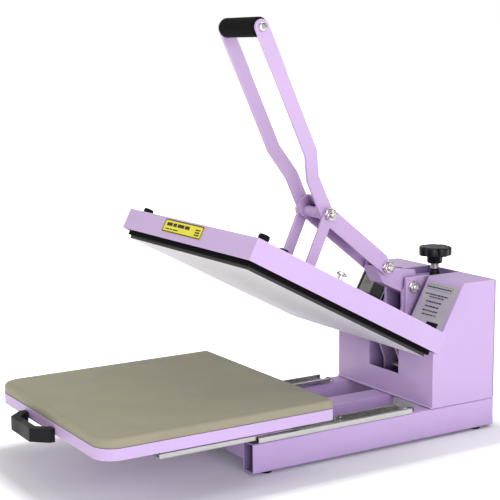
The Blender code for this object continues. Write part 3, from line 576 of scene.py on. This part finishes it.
# ---- lower platen ---------------------------------------------------------------------------
def rounded_plan(low, high, inset, front_radius, rear_radius, spacing=6.0 * MM):
    """Points around the pad's plan, evenly enough spaced to carry a gentle swell."""
    x_low, y_low, x_high, y_high = low.x + inset, low.y + inset, high.x - inset, high.y - inset
    front = max(front_radius - inset, 1.0 * MM)
    rear = max(rear_radius - inset, 1.0 * MM)
    corners = [(x_high, y_low, front, -90.0), (x_high, y_high, rear, 0.0), (x_low, y_high, rear, 90.0),
               (x_low, y_low, front, 180.0)]
    points = []
    steps = 8
    for x, y, radius, start in corners:
        centre = Vector((x - math.copysign(radius, x), y + (radius if y == y_low else -radius)))
        for step in range(steps + 1):
            angle = math.radians(start + 90.0 * step / steps)
            points.append(centre + Vector((math.cos(angle), math.sin(angle))) * radius)
    spread_out = []
    nominal = int((high.x - low.x) / spacing)
    for index, point in enumerate(points):
        spread_out.append(point)
        after = points[(index + 1) % len(points)]
        if (index + 1) % (steps + 1) == 0:
            spread_out += [point.lerp(after, step / nominal) for step in range(1, nominal)]
    return spread_out


def build_pad():
    """Silicone sponge: rounded shoulder and a faint moulded line inside it."""
    low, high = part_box("silicone_pad")
    front_radius = 32.0 * MM
    rear_radius = 6.0 * MM
    height = high.z - low.z
    shoulder = 4.6 * MM
    section = [(0.8 * MM, 0.0), (0.1 * MM, 1.2 * MM), (0.0, height - shoulder)]
    for step in range(1, 7):
        angle = math.radians(90.0 * step / 6)
        rise = height - shoulder + (shoulder - 0.4 * MM) * math.sin(angle)
        section.append((shoulder * (1.0 - math.cos(angle)), rise))
    section += [(5.6 * MM, height - 0.6 * MM), (6.2 * MM, height - 0.6 * MM)]
    section.append((7.0 * MM, height - 0.2 * MM))
    section += [(inset * MM, height - 0.1 * MM) for inset in (14.0, 30.0, 60.0, 100.0, 150.0)]
    bm = bmesh.new()
    rings = []
    for inset, rise in section:
        ring = []
        for point in rounded_plan(low, high, inset, front_radius, rear_radius):
            swell = 0.0
            if rise > 2.0 * MM:
                swell = 0.08 * MM * noise.noise(Vector((point.x, point.y, 0.0)) * 12.0)
            ring.append(bm.verts.new(Vector((point.x, point.y, low.z + rise + swell))))
        rings.append(ring)
    for below, above in zip(rings, rings[1:]):
        bridge(bm, below, above)
    close(bm, rings[0])
    close(bm, rings[-1])
    sponge = piece("silicone_sponge", bm, "drawer", FINISH["silicone"], 60.0)
    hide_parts("silicone_pad")


# ---- handle ---------------------------------------------------------------------------------
def build_grip():
    """Foam sleeve with rounded ends and a slightly uneven skin."""
    low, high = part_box("handle_grip")
    axis = Vector(joint("grip_spin")["pos_m"])
    radius = (high.z - low.z) / 2.0
    length = high.x - low.x
    corner = 3.4 * MM
    bore = 4.4 * MM
    profile = [(0.0, bore)] + arc(corner, radius - corner, corner, 180.0, 90.0)
    profile += [(corner + (length - 2.0 * corner) * step / 24.0, radius) for step in range(1, 24)]
    profile += arc(length - corner, radius - corner, corner, 90.0, 0.0) + [(length, bore)]

    def skin(angle, reach, height):
        if reach < radius - corner:
            return reach
        where = Vector((math.cos(angle) * 3.0, math.sin(angle) * 3.0, height * 120.0))
        return reach - 0.16 * MM * abs(noise.noise(where))

    bm = bmesh.new()
    turned(bm, profile, axis_frame(Vector((low.x, axis.y, axis.z)), (1.0, 0.0, 0.0)), 64, skin)
    grip = piece("foam_grip", bm, "grip", GRIP_FOAM, 50.0)
    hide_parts("handle_grip")


def cross_recess(bm, place, reach, width, top, depth):
    """Cutter for a cross-shaped driver recess."""
    block(bm, place, (-reach, -width, top - depth), (reach, width, top + depth))
    block(bm, place, (-width, -reach, top - depth), (width, reach, top + depth))


def boolean(obj, cutter_mesh, name):
    """Takes the cutter away from the object and keeps the result as its mesh."""
    bmesh.ops.recalc_face_normals(cutter_mesh, faces=cutter_mesh.faces)
    mesh = bpy.data.meshes.new(name)
    cutter_mesh.to_mesh(mesh)
    cutter_mesh.free()
    cutter = bpy.data.objects.new(name, mesh)
    bpy.context.scene.collection.objects.link(cutter)
    modifier = obj.modifiers.new("recess", "BOOLEAN")
    modifier.operation = "DIFFERENCE"
    modifier.object = cutter
    modifier.use_self = True
    graph = bpy.context.evaluated_depsgraph_get()
    result = bpy.data.meshes.new_from_object(obj.evaluated_get(graph))
    obj.modifiers.clear()
    obj.data = result
    bpy.data.objects.remove(cutter)


def pan_screws(name, places, body, slot, radius=4.0 * MM, rise=2.6 * MM, shank=1.2 * MM):
    """Pan-head screws with cross recesses; each place sits on the clamped face, Z outwards."""
    bm = bmesh.new()
    cutter = bmesh.new()
    for place in places:
        head = [(-shank, 0.0), (-shank, radius * 0.5), (0.0, radius * 0.5), (0.0, radius * 0.96)]
        head += [(rise * 0.35, radius), (rise * 0.62, radius * 0.93), (rise * 0.84, radius * 0.74),
                 (rise * 0.96, radius * 0.42), (rise, 0.0)]
        turned(bm, head, place, 28)
        cross_recess(cutter, place, radius * 0.52, radius * 0.13, rise, rise * 0.5)
    screws = piece(name, bm, body, FINISH[slot], 40.0)
    boolean(screws, cutter, name + "_cutter")
    return screws


def build_grip_axle():
    """Steel rod through the grip with a pan-head screw at each end."""
    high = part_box("grip_axle")[1]
    axis = Vector(joint("grip_spin")["pos_m"])
    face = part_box("lever_bar_right")[1].x + 0.3 * MM
    bm = bmesh.new()
    turned(bm, [(-face, 4.0 * MM), (face, 4.0 * MM)], axis_frame(axis, (1.0, 0.0, 0.0)), 32)
    rod = piece("grip_rod", bm, "lever", FINISH["chrome_bolt"])
    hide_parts("grip_axle")
    places = [axis_frame(axis + Vector((face * sign, 0.0, 0.0)), (sign, 0.0, 0.0)) for _, sign in SIDES]
    pan_screws("grip_screws", places, "lever", "chrome_bolt", 7.2 * MM, high.x - face, 0.2 * MM)


# ---- nuts and bolts -------------------------------------------------------------------------
def hex_section(angle, radius, _):
    """A hexagon of the nut's size, clipped by the chamfer's radius."""
    sixth = math.pi / 3.0
    across = (angle % sixth) - sixth / 2.0
    return min(radius, NUT_FLATS / 2.0 / math.cos(across))


def nut_stack(bm, place, nut, tip):
    """Washer, chamfered nut and threaded end, built outwards from the clamped face."""
    edge = 0.25 * MM
    washer_radius = 10.4 * MM
    washer = [(0.0, 5.0 * MM), (0.0, washer_radius - edge), (edge, washer_radius)]
    washer += [(WASHER - edge, washer_radius), (WASHER, washer_radius - edge), (WASHER, 5.0 * MM)]
    turned(bm, washer, place, 56)
    corner = NUT_FLATS / math.sqrt(3.0)
    start = WASHER - 0.1 * MM
    end = WASHER + nut
    skirt = NUT_FLATS / 2.0 * 0.97
    slope = 1.1 * MM
    sides = [(start, skirt), (start + slope * 0.6, corner), (end - slope, corner)]
    sides += [(end - slope * 0.45, corner * 0.955), (end, skirt), (end, THREAD_RADIUS * 1.06)]
    sides.append((end - 0.6 * MM, THREAD_RADIUS * 0.9))
    turned(bm, sides, place, 72, hex_section)
    thread = [(end - 0.9 * MM, THREAD_RADIUS * 0.88)]
    height = end - 0.6 * MM
    stop = end + tip - 0.9 * MM
    while height < stop:
        thread += [(height, THREAD_RADIUS * 0.89), (height + THREAD_PITCH * 0.45, THREAD_RADIUS),
                   (height + THREAD_PITCH * 0.6, THREAD_RADIUS)]
        height += THREAD_PITCH
    thread += [(stop + 0.3 * MM, THREAD_RADIUS * 0.86), (end + tip, THREAD_RADIUS * 0.72)]
    thread.append((end + tip, 0.0))
    turned(bm, thread, place, 36)


def build_bolts():
    """Replaces each cross bolt with a plain shank and full nuts on the ends that show."""
    rows = [("pivot_bolt", "lever", 8.0 * MM, 6.0 * MM, (1.0, -1.0)),
            ("link_bolt", "lever", 7.4 * MM, 3.6 * MM, (1.0, -1.0)),
            ("hinge_bolt_right", "base", 6.4 * MM, 2.4 * MM, (1.0,)),
            ("hinge_bolt_left", "base", 6.4 * MM, 2.4 * MM, (-1.0,))]
    for name, body, nut, tip, ends in rows:
        low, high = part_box(name)
        middle = (low + high) / 2.0
        bm = bmesh.new()
        faces = []
        for sign in ends:
            face = (high.x if sign > 0.0 else low.x) - sign * (WASHER + nut + tip)
            faces.append(face)
            nut_stack(bm, axis_frame(Vector((face, middle.y, middle.z)), (sign, 0.0, 0.0)), nut, tip)
        if len(ends) == 1:
            faces.append(low.x if ends[0] > 0.0 else high.x)
        shank = abs(faces[0] - faces[1]) / 2.0
        centre = Vector((sum(faces) / 2.0, middle.y, middle.z))
        turned(bm, [(-shank, BOLT_RADIUS), (shank, BOLT_RADIUS)], axis_frame(centre, (1.0, 0.0, 0.0)), 32)
        bolt = piece(name + "_set", bm, body, FINISH["chrome_bolt"], 28.0)
        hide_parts(name)


# ---- pressure knob --------------------------------------------------------------------------
def build_knob():
    """Seven-lobed star knob with a rounded rim, a dished top and a tapered hub."""
    low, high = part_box("pressure_knob")
    axis = Vector(joint("knob_turn")["pos_m"])
    lobes = 7
    inner = 24.6 * MM
    depth = 4.3 * MM
    total = high.z - low.z + 2.0 * MM
    head = total - 16.0 * MM
    rim = inner + depth
    hub = 13.4 * MM
    profile = [(0.0, 0.0), (0.0, hub - 1.6 * MM), (1.0 * MM, hub - 0.4 * MM), (2.4 * MM, hub)]
    profile += [(head - 1.4 * MM, hub + 0.2 * MM), (head - 0.3 * MM, hub + 1.2 * MM)]
    profile += [(head, hub + 2.6 * MM), (head, rim - 4.0 * MM)]
    profile += arc(head + 2.4 * MM, rim - 2.4 * MM, 2.4 * MM, 180.0, 90.0)
    profile += arc(total - 4.2 * MM, rim - 4.0 * MM, 4.0 * MM, 90.0, 20.0)
    profile += [(total - 0.1 * MM, rim - 6.4 * MM), (total, rim - 8.4 * MM)]
    profile += [(total - 0.6 * MM, rim - 11.0 * MM), (total - 0.9 * MM, 9.0 * MM)]
    profile += [(total - 0.3 * MM, 7.6 * MM), (total - 0.1 * MM, 5.0 * MM), (total, 0.0)]

    def star(angle, radius, _):
        if radius <= hub + 2.0 * MM:
            return radius
        lobe = abs(math.cos(lobes / 2.0 * angle)) ** 0.55
        share = min(1.0, (radius - hub - 2.0 * MM) / (rim - hub - 6.0 * MM))
        return radius - depth * (1.0 - lobe) * share

    bm = bmesh.new()
    turned(bm, profile, Matrix.Translation((axis.x, axis.y, low.z)), 32 * lobes, star)
    knob = piece("star_knob", bm, "knob", KNOB_PLASTIC, 50.0)
    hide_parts("pressure_knob")


# ---- upper platen ---------------------------------------------------------------------------
def build_caps():
    """Rubber stub caps with a flange, a groove and a rounded crown."""
    for name in ("cap_front_right", "cap_front_left", "cap_side_right"):
        low, high = span(name, PLATEN)
        middle = (low + high) / 2.0
        radius = (high.x - low.x) / 2.0
        height = high.z - low.z
        corner = 2.6 * MM
        profile = [(0.0, radius - 1.6 * MM), (0.0, radius - 0.3 * MM), (0.4 * MM, radius)]
        profile += [(1.6 * MM, radius), (2.0 * MM, radius - 0.6 * MM), (2.6 * MM, radius - 0.6 * MM)]
        profile.append((3.0 * MM, radius))
        profile += arc(height - corner, radius - corner, corner, 90.0, 0.0)
        profile += [(height, radius * 0.4), (height - 0.5 * MM, radius * 0.3), (height - 0.5 * MM, 0.0)]
        bm = bmesh.new()
        turned(bm, profile, PLATEN @ Matrix.Translation((middle.x, middle.y, low.z)), 48)
        cap = piece(name + "_moulding", bm, "upper_platen", FINISH["black_rubber"], 40.0)
        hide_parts(name)


def build_cover_bolt():
    """Mushroom-headed stud on the cover."""
    low, high = span("cover_bolt", PLATEN)
    middle = (low + high) / 2.0
    radius = (high.x - low.x) / 2.0
    height = high.z - low.z
    stem = 4.0 * MM
    profile = [(0.0, 6.4 * MM), (1.0 * MM, 6.4 * MM), (1.3 * MM, 6.0 * MM), (1.3 * MM, stem)]
    profile += [(height * 0.52, stem), (height * 0.56, radius * 0.7), (height * 0.6, radius * 0.95)]
    for degrees in range(10, 90, 12):
        turn = math.radians(degrees)
        profile.append((height * (0.6 + 0.4 * math.sin(turn)), radius * math.cos(turn)))
    profile.append((height, 0.0))
    bm = bmesh.new()
    turned(bm, profile, PLATEN @ Matrix.Translation((middle.x, middle.y, low.z)), 48)
    stud = piece("cover_stud", bm, "upper_platen", FINISH["chrome_bolt"], 40.0)
    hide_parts("cover_bolt")


def outline_bars(bm, place, low, high, width, near, far):
    """Four bars that frame a rectangle in the place's XY plane."""
    block(bm, place, (low[0], low[1], near), (high[0], low[1] + width, far))
    block(bm, place, (low[0], high[1] - width, near), (high[0], high[1], far))
    block(bm, place, (low[0], low[1] + width, near), (low[0] + width, high[1] - width, far))
    block(bm, place, (high[0] - width, low[1] + width, near), (high[0], high[1] - width, far))


def build_caution_print():
    """Black border and plain bars on the yellow plate, raised by the ink's thickness."""
    low, high = span("caution_plate", PLATEN)
    # X across, Y up the plate and Z out of its front
    upright = Matrix.Rotation(math.radians(90.0), 4, "X")
    place = PLATEN @ Matrix.Translation((0.0, low.y, 0.0)) @ upright
    near = 0.05 * MM
    far = 0.2 * MM
    margin = 0.3 * MM
    bm = bmesh.new()
    outline_bars(bm, place, (low.x + margin, low.z + margin), (high.x - margin, high.z - margin),
                 1.7 * MM, near, far)
    start = low.x + 9.0 * MM
    bar_low = high.z - 10.6 * MM
    for width in (17.0, 11.0, 20.0, 14.0):
        block(bm, place, (start, bar_low, near), (start + width * MM, bar_low + 5.4 * MM, far))
        start += (width + 3.0) * MM
    start = low.x + 9.0 * MM
    for width in (12.0, 8.0, 15.0):
        block(bm, place, (start, low.z + 4.8 * MM, near), (start + width * MM, low.z + 6.6 * MM, far))
        start += (width + 2.0) * MM
    for row in range(3):
        bottom = low.z + (4.6 + 4.0 * row) * MM
        block(bm, place, (high.x - 21.0 * MM, bottom, near),
              (high.x - 7.0 * MM, bottom + 2.2 * MM, far))
    piece("caution_print", bm, "upper_platen", BLACK_INK)


# ---- console --------------------------------------------------------------------------------
def build_instruction_foil():
    """Silver foil over the right-hand half of the slant, open where the switch sits, with a ruled
    title box and rows of word-like dashes."""
    low, high = span("instruction_plate", CONSOLE)
    switch_low, switch_high = span("power_switch_body", CONSOLE)
    bottom = span("control_panel", CONSOLE)[0].y
    top = high.y + 2.0 * MM
    gap = 0.15 * MM
    outer = ((low.x, bottom), (high.x, bottom), (high.x, top), (low.x, top))
    hole = ((switch_low.x - gap, switch_low.y - gap), (switch_high.x + gap, switch_low.y - gap),
            (switch_high.x + gap, switch_high.y + gap), (switch_low.x - gap, switch_high.y + gap))
    bm = bmesh.new()
    rings = []
    for corners, level in ((outer, low.z), (outer, high.z), (hole, high.z), (hole, low.z)):
        rings.append([bm.verts.new(CONSOLE @ Vector((x, y, level))) for x, y in corners])
    for index in range(4):
        bridge(bm, rings[index], rings[(index + 1) % 4])
    foil = piece("instruction_foil", bm, "base", FINISH["grey_plate"])
    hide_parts("instruction_plate")

    draw = random.Random(11)
    near = high.z + 0.05 * MM
    far = high.z + 0.15 * MM
    title = top - 9.7 * MM
    bm = bmesh.new()
    half_box = 4.4 * MM
    box_low = (low.x + 3.0 * MM, title - half_box)
    box_high = (high.x - 11.0 * MM, title + half_box)
    outline_bars(bm, CONSOLE, box_low, box_high, 0.35 * MM, near, far)
    # Each row in mm: how far below the title, where it starts and ends across, how tall it is
    rows = ((0.0, 51.0, 111.0, 2.6), (12.6, 52.0, 109.0, 2.4), (17.1, 65.0, 101.0, 2.4),
            (25.6, 62.0, 100.0, 2.6), (33.7, 64.0, 100.0, 2.6), (41.5, 62.0, 100.0, 2.6),
            (48.2, 64.0, 100.0, 2.2))
    for below, start, end, height in rows:
        x = start * MM
        y = title - below * MM
        while x < (end - 2.0) * MM:
            width = min(draw.uniform(2.4, 7.0) * MM, end * MM - x)
            block(bm, CONSOLE, (x, y - height / 2.0 * MM, near), (x + width, y + height / 2.0 * MM, far))
            x += width + 1.3 * MM
    piece("instruction_print", bm, "base", BLACK_INK)


# Each bar of a figure as (x, y) to (x, y), in shares of its width and height
SEGMENTS = {"a": (0.0, 1.0, 1.0, 1.0), "b": (1.0, 0.5, 1.0, 1.0), "c": (1.0, 0.0, 1.0, 0.5),
            "d": (0.0, 0.0, 1.0, 0.0), "e": (0.0, 0.0, 0.0, 0.5), "f": (0.0, 0.5, 0.0, 1.0),
            "g": (0.0, 0.5, 1.0, 0.5)}
DIGITS = {"0": "abcdef", "1": "bc", "6": "acdefg", "8": "abcdefg"}


def build_display():
    """Black surround that leaves the window's left half clear, with seven-segment figures for
    temperature and time in the clear half, and a bright trim around the panel."""
    low, high = span("lcd_window", CONSOLE)
    clear = 33.0 * MM
    bm = bmesh.new()
    block(bm, CONSOLE, (low.x + clear, low.y, high.z - 0.1 * MM), (high.x, high.y, high.z + 0.12 * MM))
    piece("display_surround", bm, "base", KNOB_PLASTIC)

    width = 3.4 * MM
    tall = 6.6 * MM
    stroke = 0.4 * MM
    bm = bmesh.new()
    for rise, text in ((16.0 * MM, "060"), (25.0 * MM, "180")):
        for index, figure in enumerate(text):
            left = low.x + 8.0 * MM + index * (width + 2.2 * MM)
            bottom = low.y + rise
            for name in DIGITS[figure]:
                x_from, y_from, x_to, y_to = SEGMENTS[name]
                block(bm, CONSOLE,
                      (left + x_from * width - stroke, bottom + y_from * tall - stroke, high.z),
                      (left + x_to * width + stroke, bottom + y_to * tall + stroke, high.z + 0.06 * MM))
    piece("display_figures", bm, "base", SEGMENT_INK)

    low, high = span("control_panel", CONSOLE)
    bm = bmesh.new()
    margin = 2.0 * MM
    outline_bars(bm, CONSOLE, (low.x + margin, low.y + margin), (high.x - margin, high.y - margin),
                 0.9 * MM, high.z - 0.1 * MM, high.z + 0.15 * MM)
    piece("panel_trim", bm, "base", FINISH["zinc_steel"])


# ---- slides ---------------------------------------------------------------------------------
def build_slide_parts():
    """Balls in the cages, a small black dome and a screw behind each slide."""
    ball = 1.9 * MM
    for label, sign in SIDES:
        low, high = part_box("ball_cage_" + label)
        middle = (low + high) / 2.0
        bm = bmesh.new()
        count = 16
        step = (high.y - low.y - 10.0 * MM) / (count - 1)
        for side in (-1.0, 1.0):
            x = middle.x + side * ((high.x - low.x) / 2.0 - 0.4 * MM)
            for index in range(count):
                y = low.y + 5.0 * MM + step * index
                spot = Matrix.Translation((x, y, low.z + 3.2 * MM))
                bmesh.ops.create_icosphere(bm, subdivisions=2, radius=ball, matrix=spot)
        piece("slide_balls_" + label, bm, "cage_" + label, FINISH["chrome_bolt"], 60.0)

        low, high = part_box("slide_outer_" + label)
        middle = (low + high) / 2.0
        bm = bmesh.new()
        # Small black dome just behind the slide's rear end.
        spot = Matrix.Translation((middle.x + 2.0 * MM * sign, high.y + 8.0 * MM, low.z))
        black_dome = [(0.0, 5.0 * MM), (0.5 * MM, 5.4 * MM), (2.6 * MM, 5.2 * MM)]
        black_dome += arc(3.0 * MM, 4.0 * MM, 1.2 * MM, 90.0, 10.0) + [(4.2 * MM, 1.4 * MM), (3.6 * MM, 0.0)]
        turned(bm, black_dome, spot, 40)
        piece("slide_black_dome_" + label, bm, "base", FINISH["black_rubber"], 50.0)
        spot = Matrix.Translation((middle.x - 8.0 * MM * sign, high.y + 6.5 * MM, low.z))
        pan_screws("slide_screw_" + label, [spot], "base", "chrome_bolt", 4.4 * MM, 3.2 * MM, 0.2 * MM)


# ---- back of the housing --------------------------------------------------------------------
def build_back_screws():
    """Screws along the rear cover's two upright edges."""
    low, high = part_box("rear_cover")
    inset = 8.0 * MM
    heights = (low.z + inset, (low.z + high.z) / 2.0, high.z - inset)
    spots = [(x, high.y, z) for x in (low.x + inset, high.x - inset) for z in heights]
    pan_screws("rear_cover_screws", [axis_frame(Vector(spot), (0.0, 1.0, 0.0)) for spot in spots],
               "base", "zinc_steel", 3.6 * MM, 2.2 * MM, 0.5 * MM)


# ---- stage ----------------------------------------------------------------------------------
def strength_by_ray(tree, lit, seen):
    """Strength that is lit for light rays and seen for the camera's own rays."""
    path = tree.nodes.new("ShaderNodeLightPath")
    node = tree.nodes.new("ShaderNodeMapRange")
    for name, value in (("To Min", lit), ("To Max", seen)):
        if isinstance(value, bpy.types.NodeSocket):
            tree.links.new(value, node.inputs[name])
        else:
            node.inputs[name].default_value = value
    tree.links.new(path.outputs["Is Camera Ray"], node.inputs["Value"])
    return node.outputs["Result"]


def area_light(name, place, target, size, power, colour):
    """Rectangular light at the place that faces the target."""
    data = bpy.data.lights.new(name, "AREA")
    data.shape = "RECTANGLE"
    data.size, data.size_y = size
    data.energy = power
    data.color = colour
    light = bpy.data.objects.new(name, data)
    light.location = place
    light.rotation_euler = (Vector(target) - Vector(place)).to_track_quat("-Z", "Y").to_euler()
    bpy.context.scene.collection.objects.link(light)


def build_stage():
    """Pale floor that melts into the background, with a painted shadow round the machine, a patchy white
    surround and soft lights.
    """
    bm = bmesh.new()
    bmesh.ops.create_grid(bm, x_segments=2, y_segments=2, size=30.0)
    mesh = bpy.data.meshes.new("studio_floor")
    bm.to_mesh(mesh)
    bm.free()
    floor = bpy.data.objects.new("studio_floor", mesh)
    bpy.context.scene.collection.objects.link(floor)
    graph = Graph("studio_white_painted_shadow")
    graph.set("Base Color", (0.80, 0.80, 0.81, 1.0))
    graph.set("Roughness", graph.spread(graph.noise(2.0), 0.85, 0.95))
    graph.set("Specular IOR Level", 0.0)
    graph.set("Emission Color", (1.0, 1.0, 1.0, 1.0))
    # Painted shadow: the floor glows dimly at the machine's footprint and fully a few centimetres out, so
    # a grey band rings the base; the glow it sheds as light dims there too.
    away = graph.outside((cad_bounds[1][0], cad_bounds[1][1], 0.0))
    seen = graph.spread(away, 0.06, 1.0, 0.0, 0.07)
    lit = graph.spread(away, 0.08, 0.6, 0.0, 0.2)
    graph.set("Emission Strength", strength_by_ray(graph.tree, lit, seen))
    mesh.materials.append(graph.material)

    world = bpy.data.worlds.new("studio")
    bpy.context.scene.world = world
    world.use_nodes = True
    tree = world.node_tree
    background = tree.nodes["Background"]
    background.inputs["Color"].default_value = (1.0, 1.0, 1.0, 1.0)
    patches = tree.nodes.new("ShaderNodeTexNoise")
    patches.inputs["Scale"].default_value = 2.2
    patches.inputs["Detail"].default_value = 0.0
    levels = tree.nodes.new("ShaderNodeMapRange")
    for name, value in (("From Min", 0.44), ("From Max", 0.56), ("To Min", 0.12), ("To Max", 0.8)):
        levels.inputs[name].default_value = value
    tree.links.new(patches.outputs["Fac"], levels.inputs["Value"])
    tree.links.new(strength_by_ray(tree, levels.outputs["Result"], 1.0), background.inputs["Strength"])

    area_light("key", (2.3, -0.5, 0.8), (0.0, 0.0, 0.2), (1.6, 1.4), 27.0, (0.88, 0.83, 1.0))
    area_light("top", (0.3, 0.5, 2.4), (0.0, 0.1, 0.2), (2.0, 2.0), 20.0, (1.0, 0.99, 0.98))
    area_light("front", (-0.6, -2.4, 1.2), (0.0, 0.0, 0.25), (1.6, 1.2), 9.0, (1.0, 0.95, 0.84))


def build_camera():
    """Camera at the view of the reference: right-hand front quarter, a little above."""
    azimuth = math.radians(58.1612)
    elevation = math.radians(9.0214)
    roll = math.radians(-0.2941)
    distance = 2.0892
    lens_to_sensor = 2.5367378
    level = math.cos(elevation)
    back = Vector((math.sin(azimuth) * level, -math.cos(azimuth) * level, math.sin(elevation)))
    right = (-back).cross(Vector((0.0, 0.0, 1.0))).normalized()
    up = right.cross(-back)
    target = Vector((0.0, 0.11142, 0.204)) - 0.1039 * right + 0.1067 * up
    rolled_right = math.cos(roll) * right + math.sin(roll) * up
    rolled_up = math.cos(roll) * up - math.sin(roll) * right
    data = bpy.data.cameras.new("camera")
    data.sensor_width = 36.0
    data.lens = lens_to_sensor * data.sensor_width
    camera = bpy.data.objects.new("camera", data)
    turn = Matrix((rolled_right, rolled_up, back)).transposed().to_4x4()
    camera.matrix_world = Matrix.Translation(target + back * distance) @ turn
    bpy.context.scene.collection.objects.link(camera)
    bpy.context.scene.camera = camera
    bpy.context.scene.view_settings.view_transform = "Standard"


finish_nodes()
build_pad()
build_grip()
build_grip_axle()
build_bolts()
build_knob()
build_caps()
build_cover_bolt()
build_caution_print()
build_instruction_foil()
build_display()
build_slide_parts()
build_back_screws()
build_stage()
build_camera()
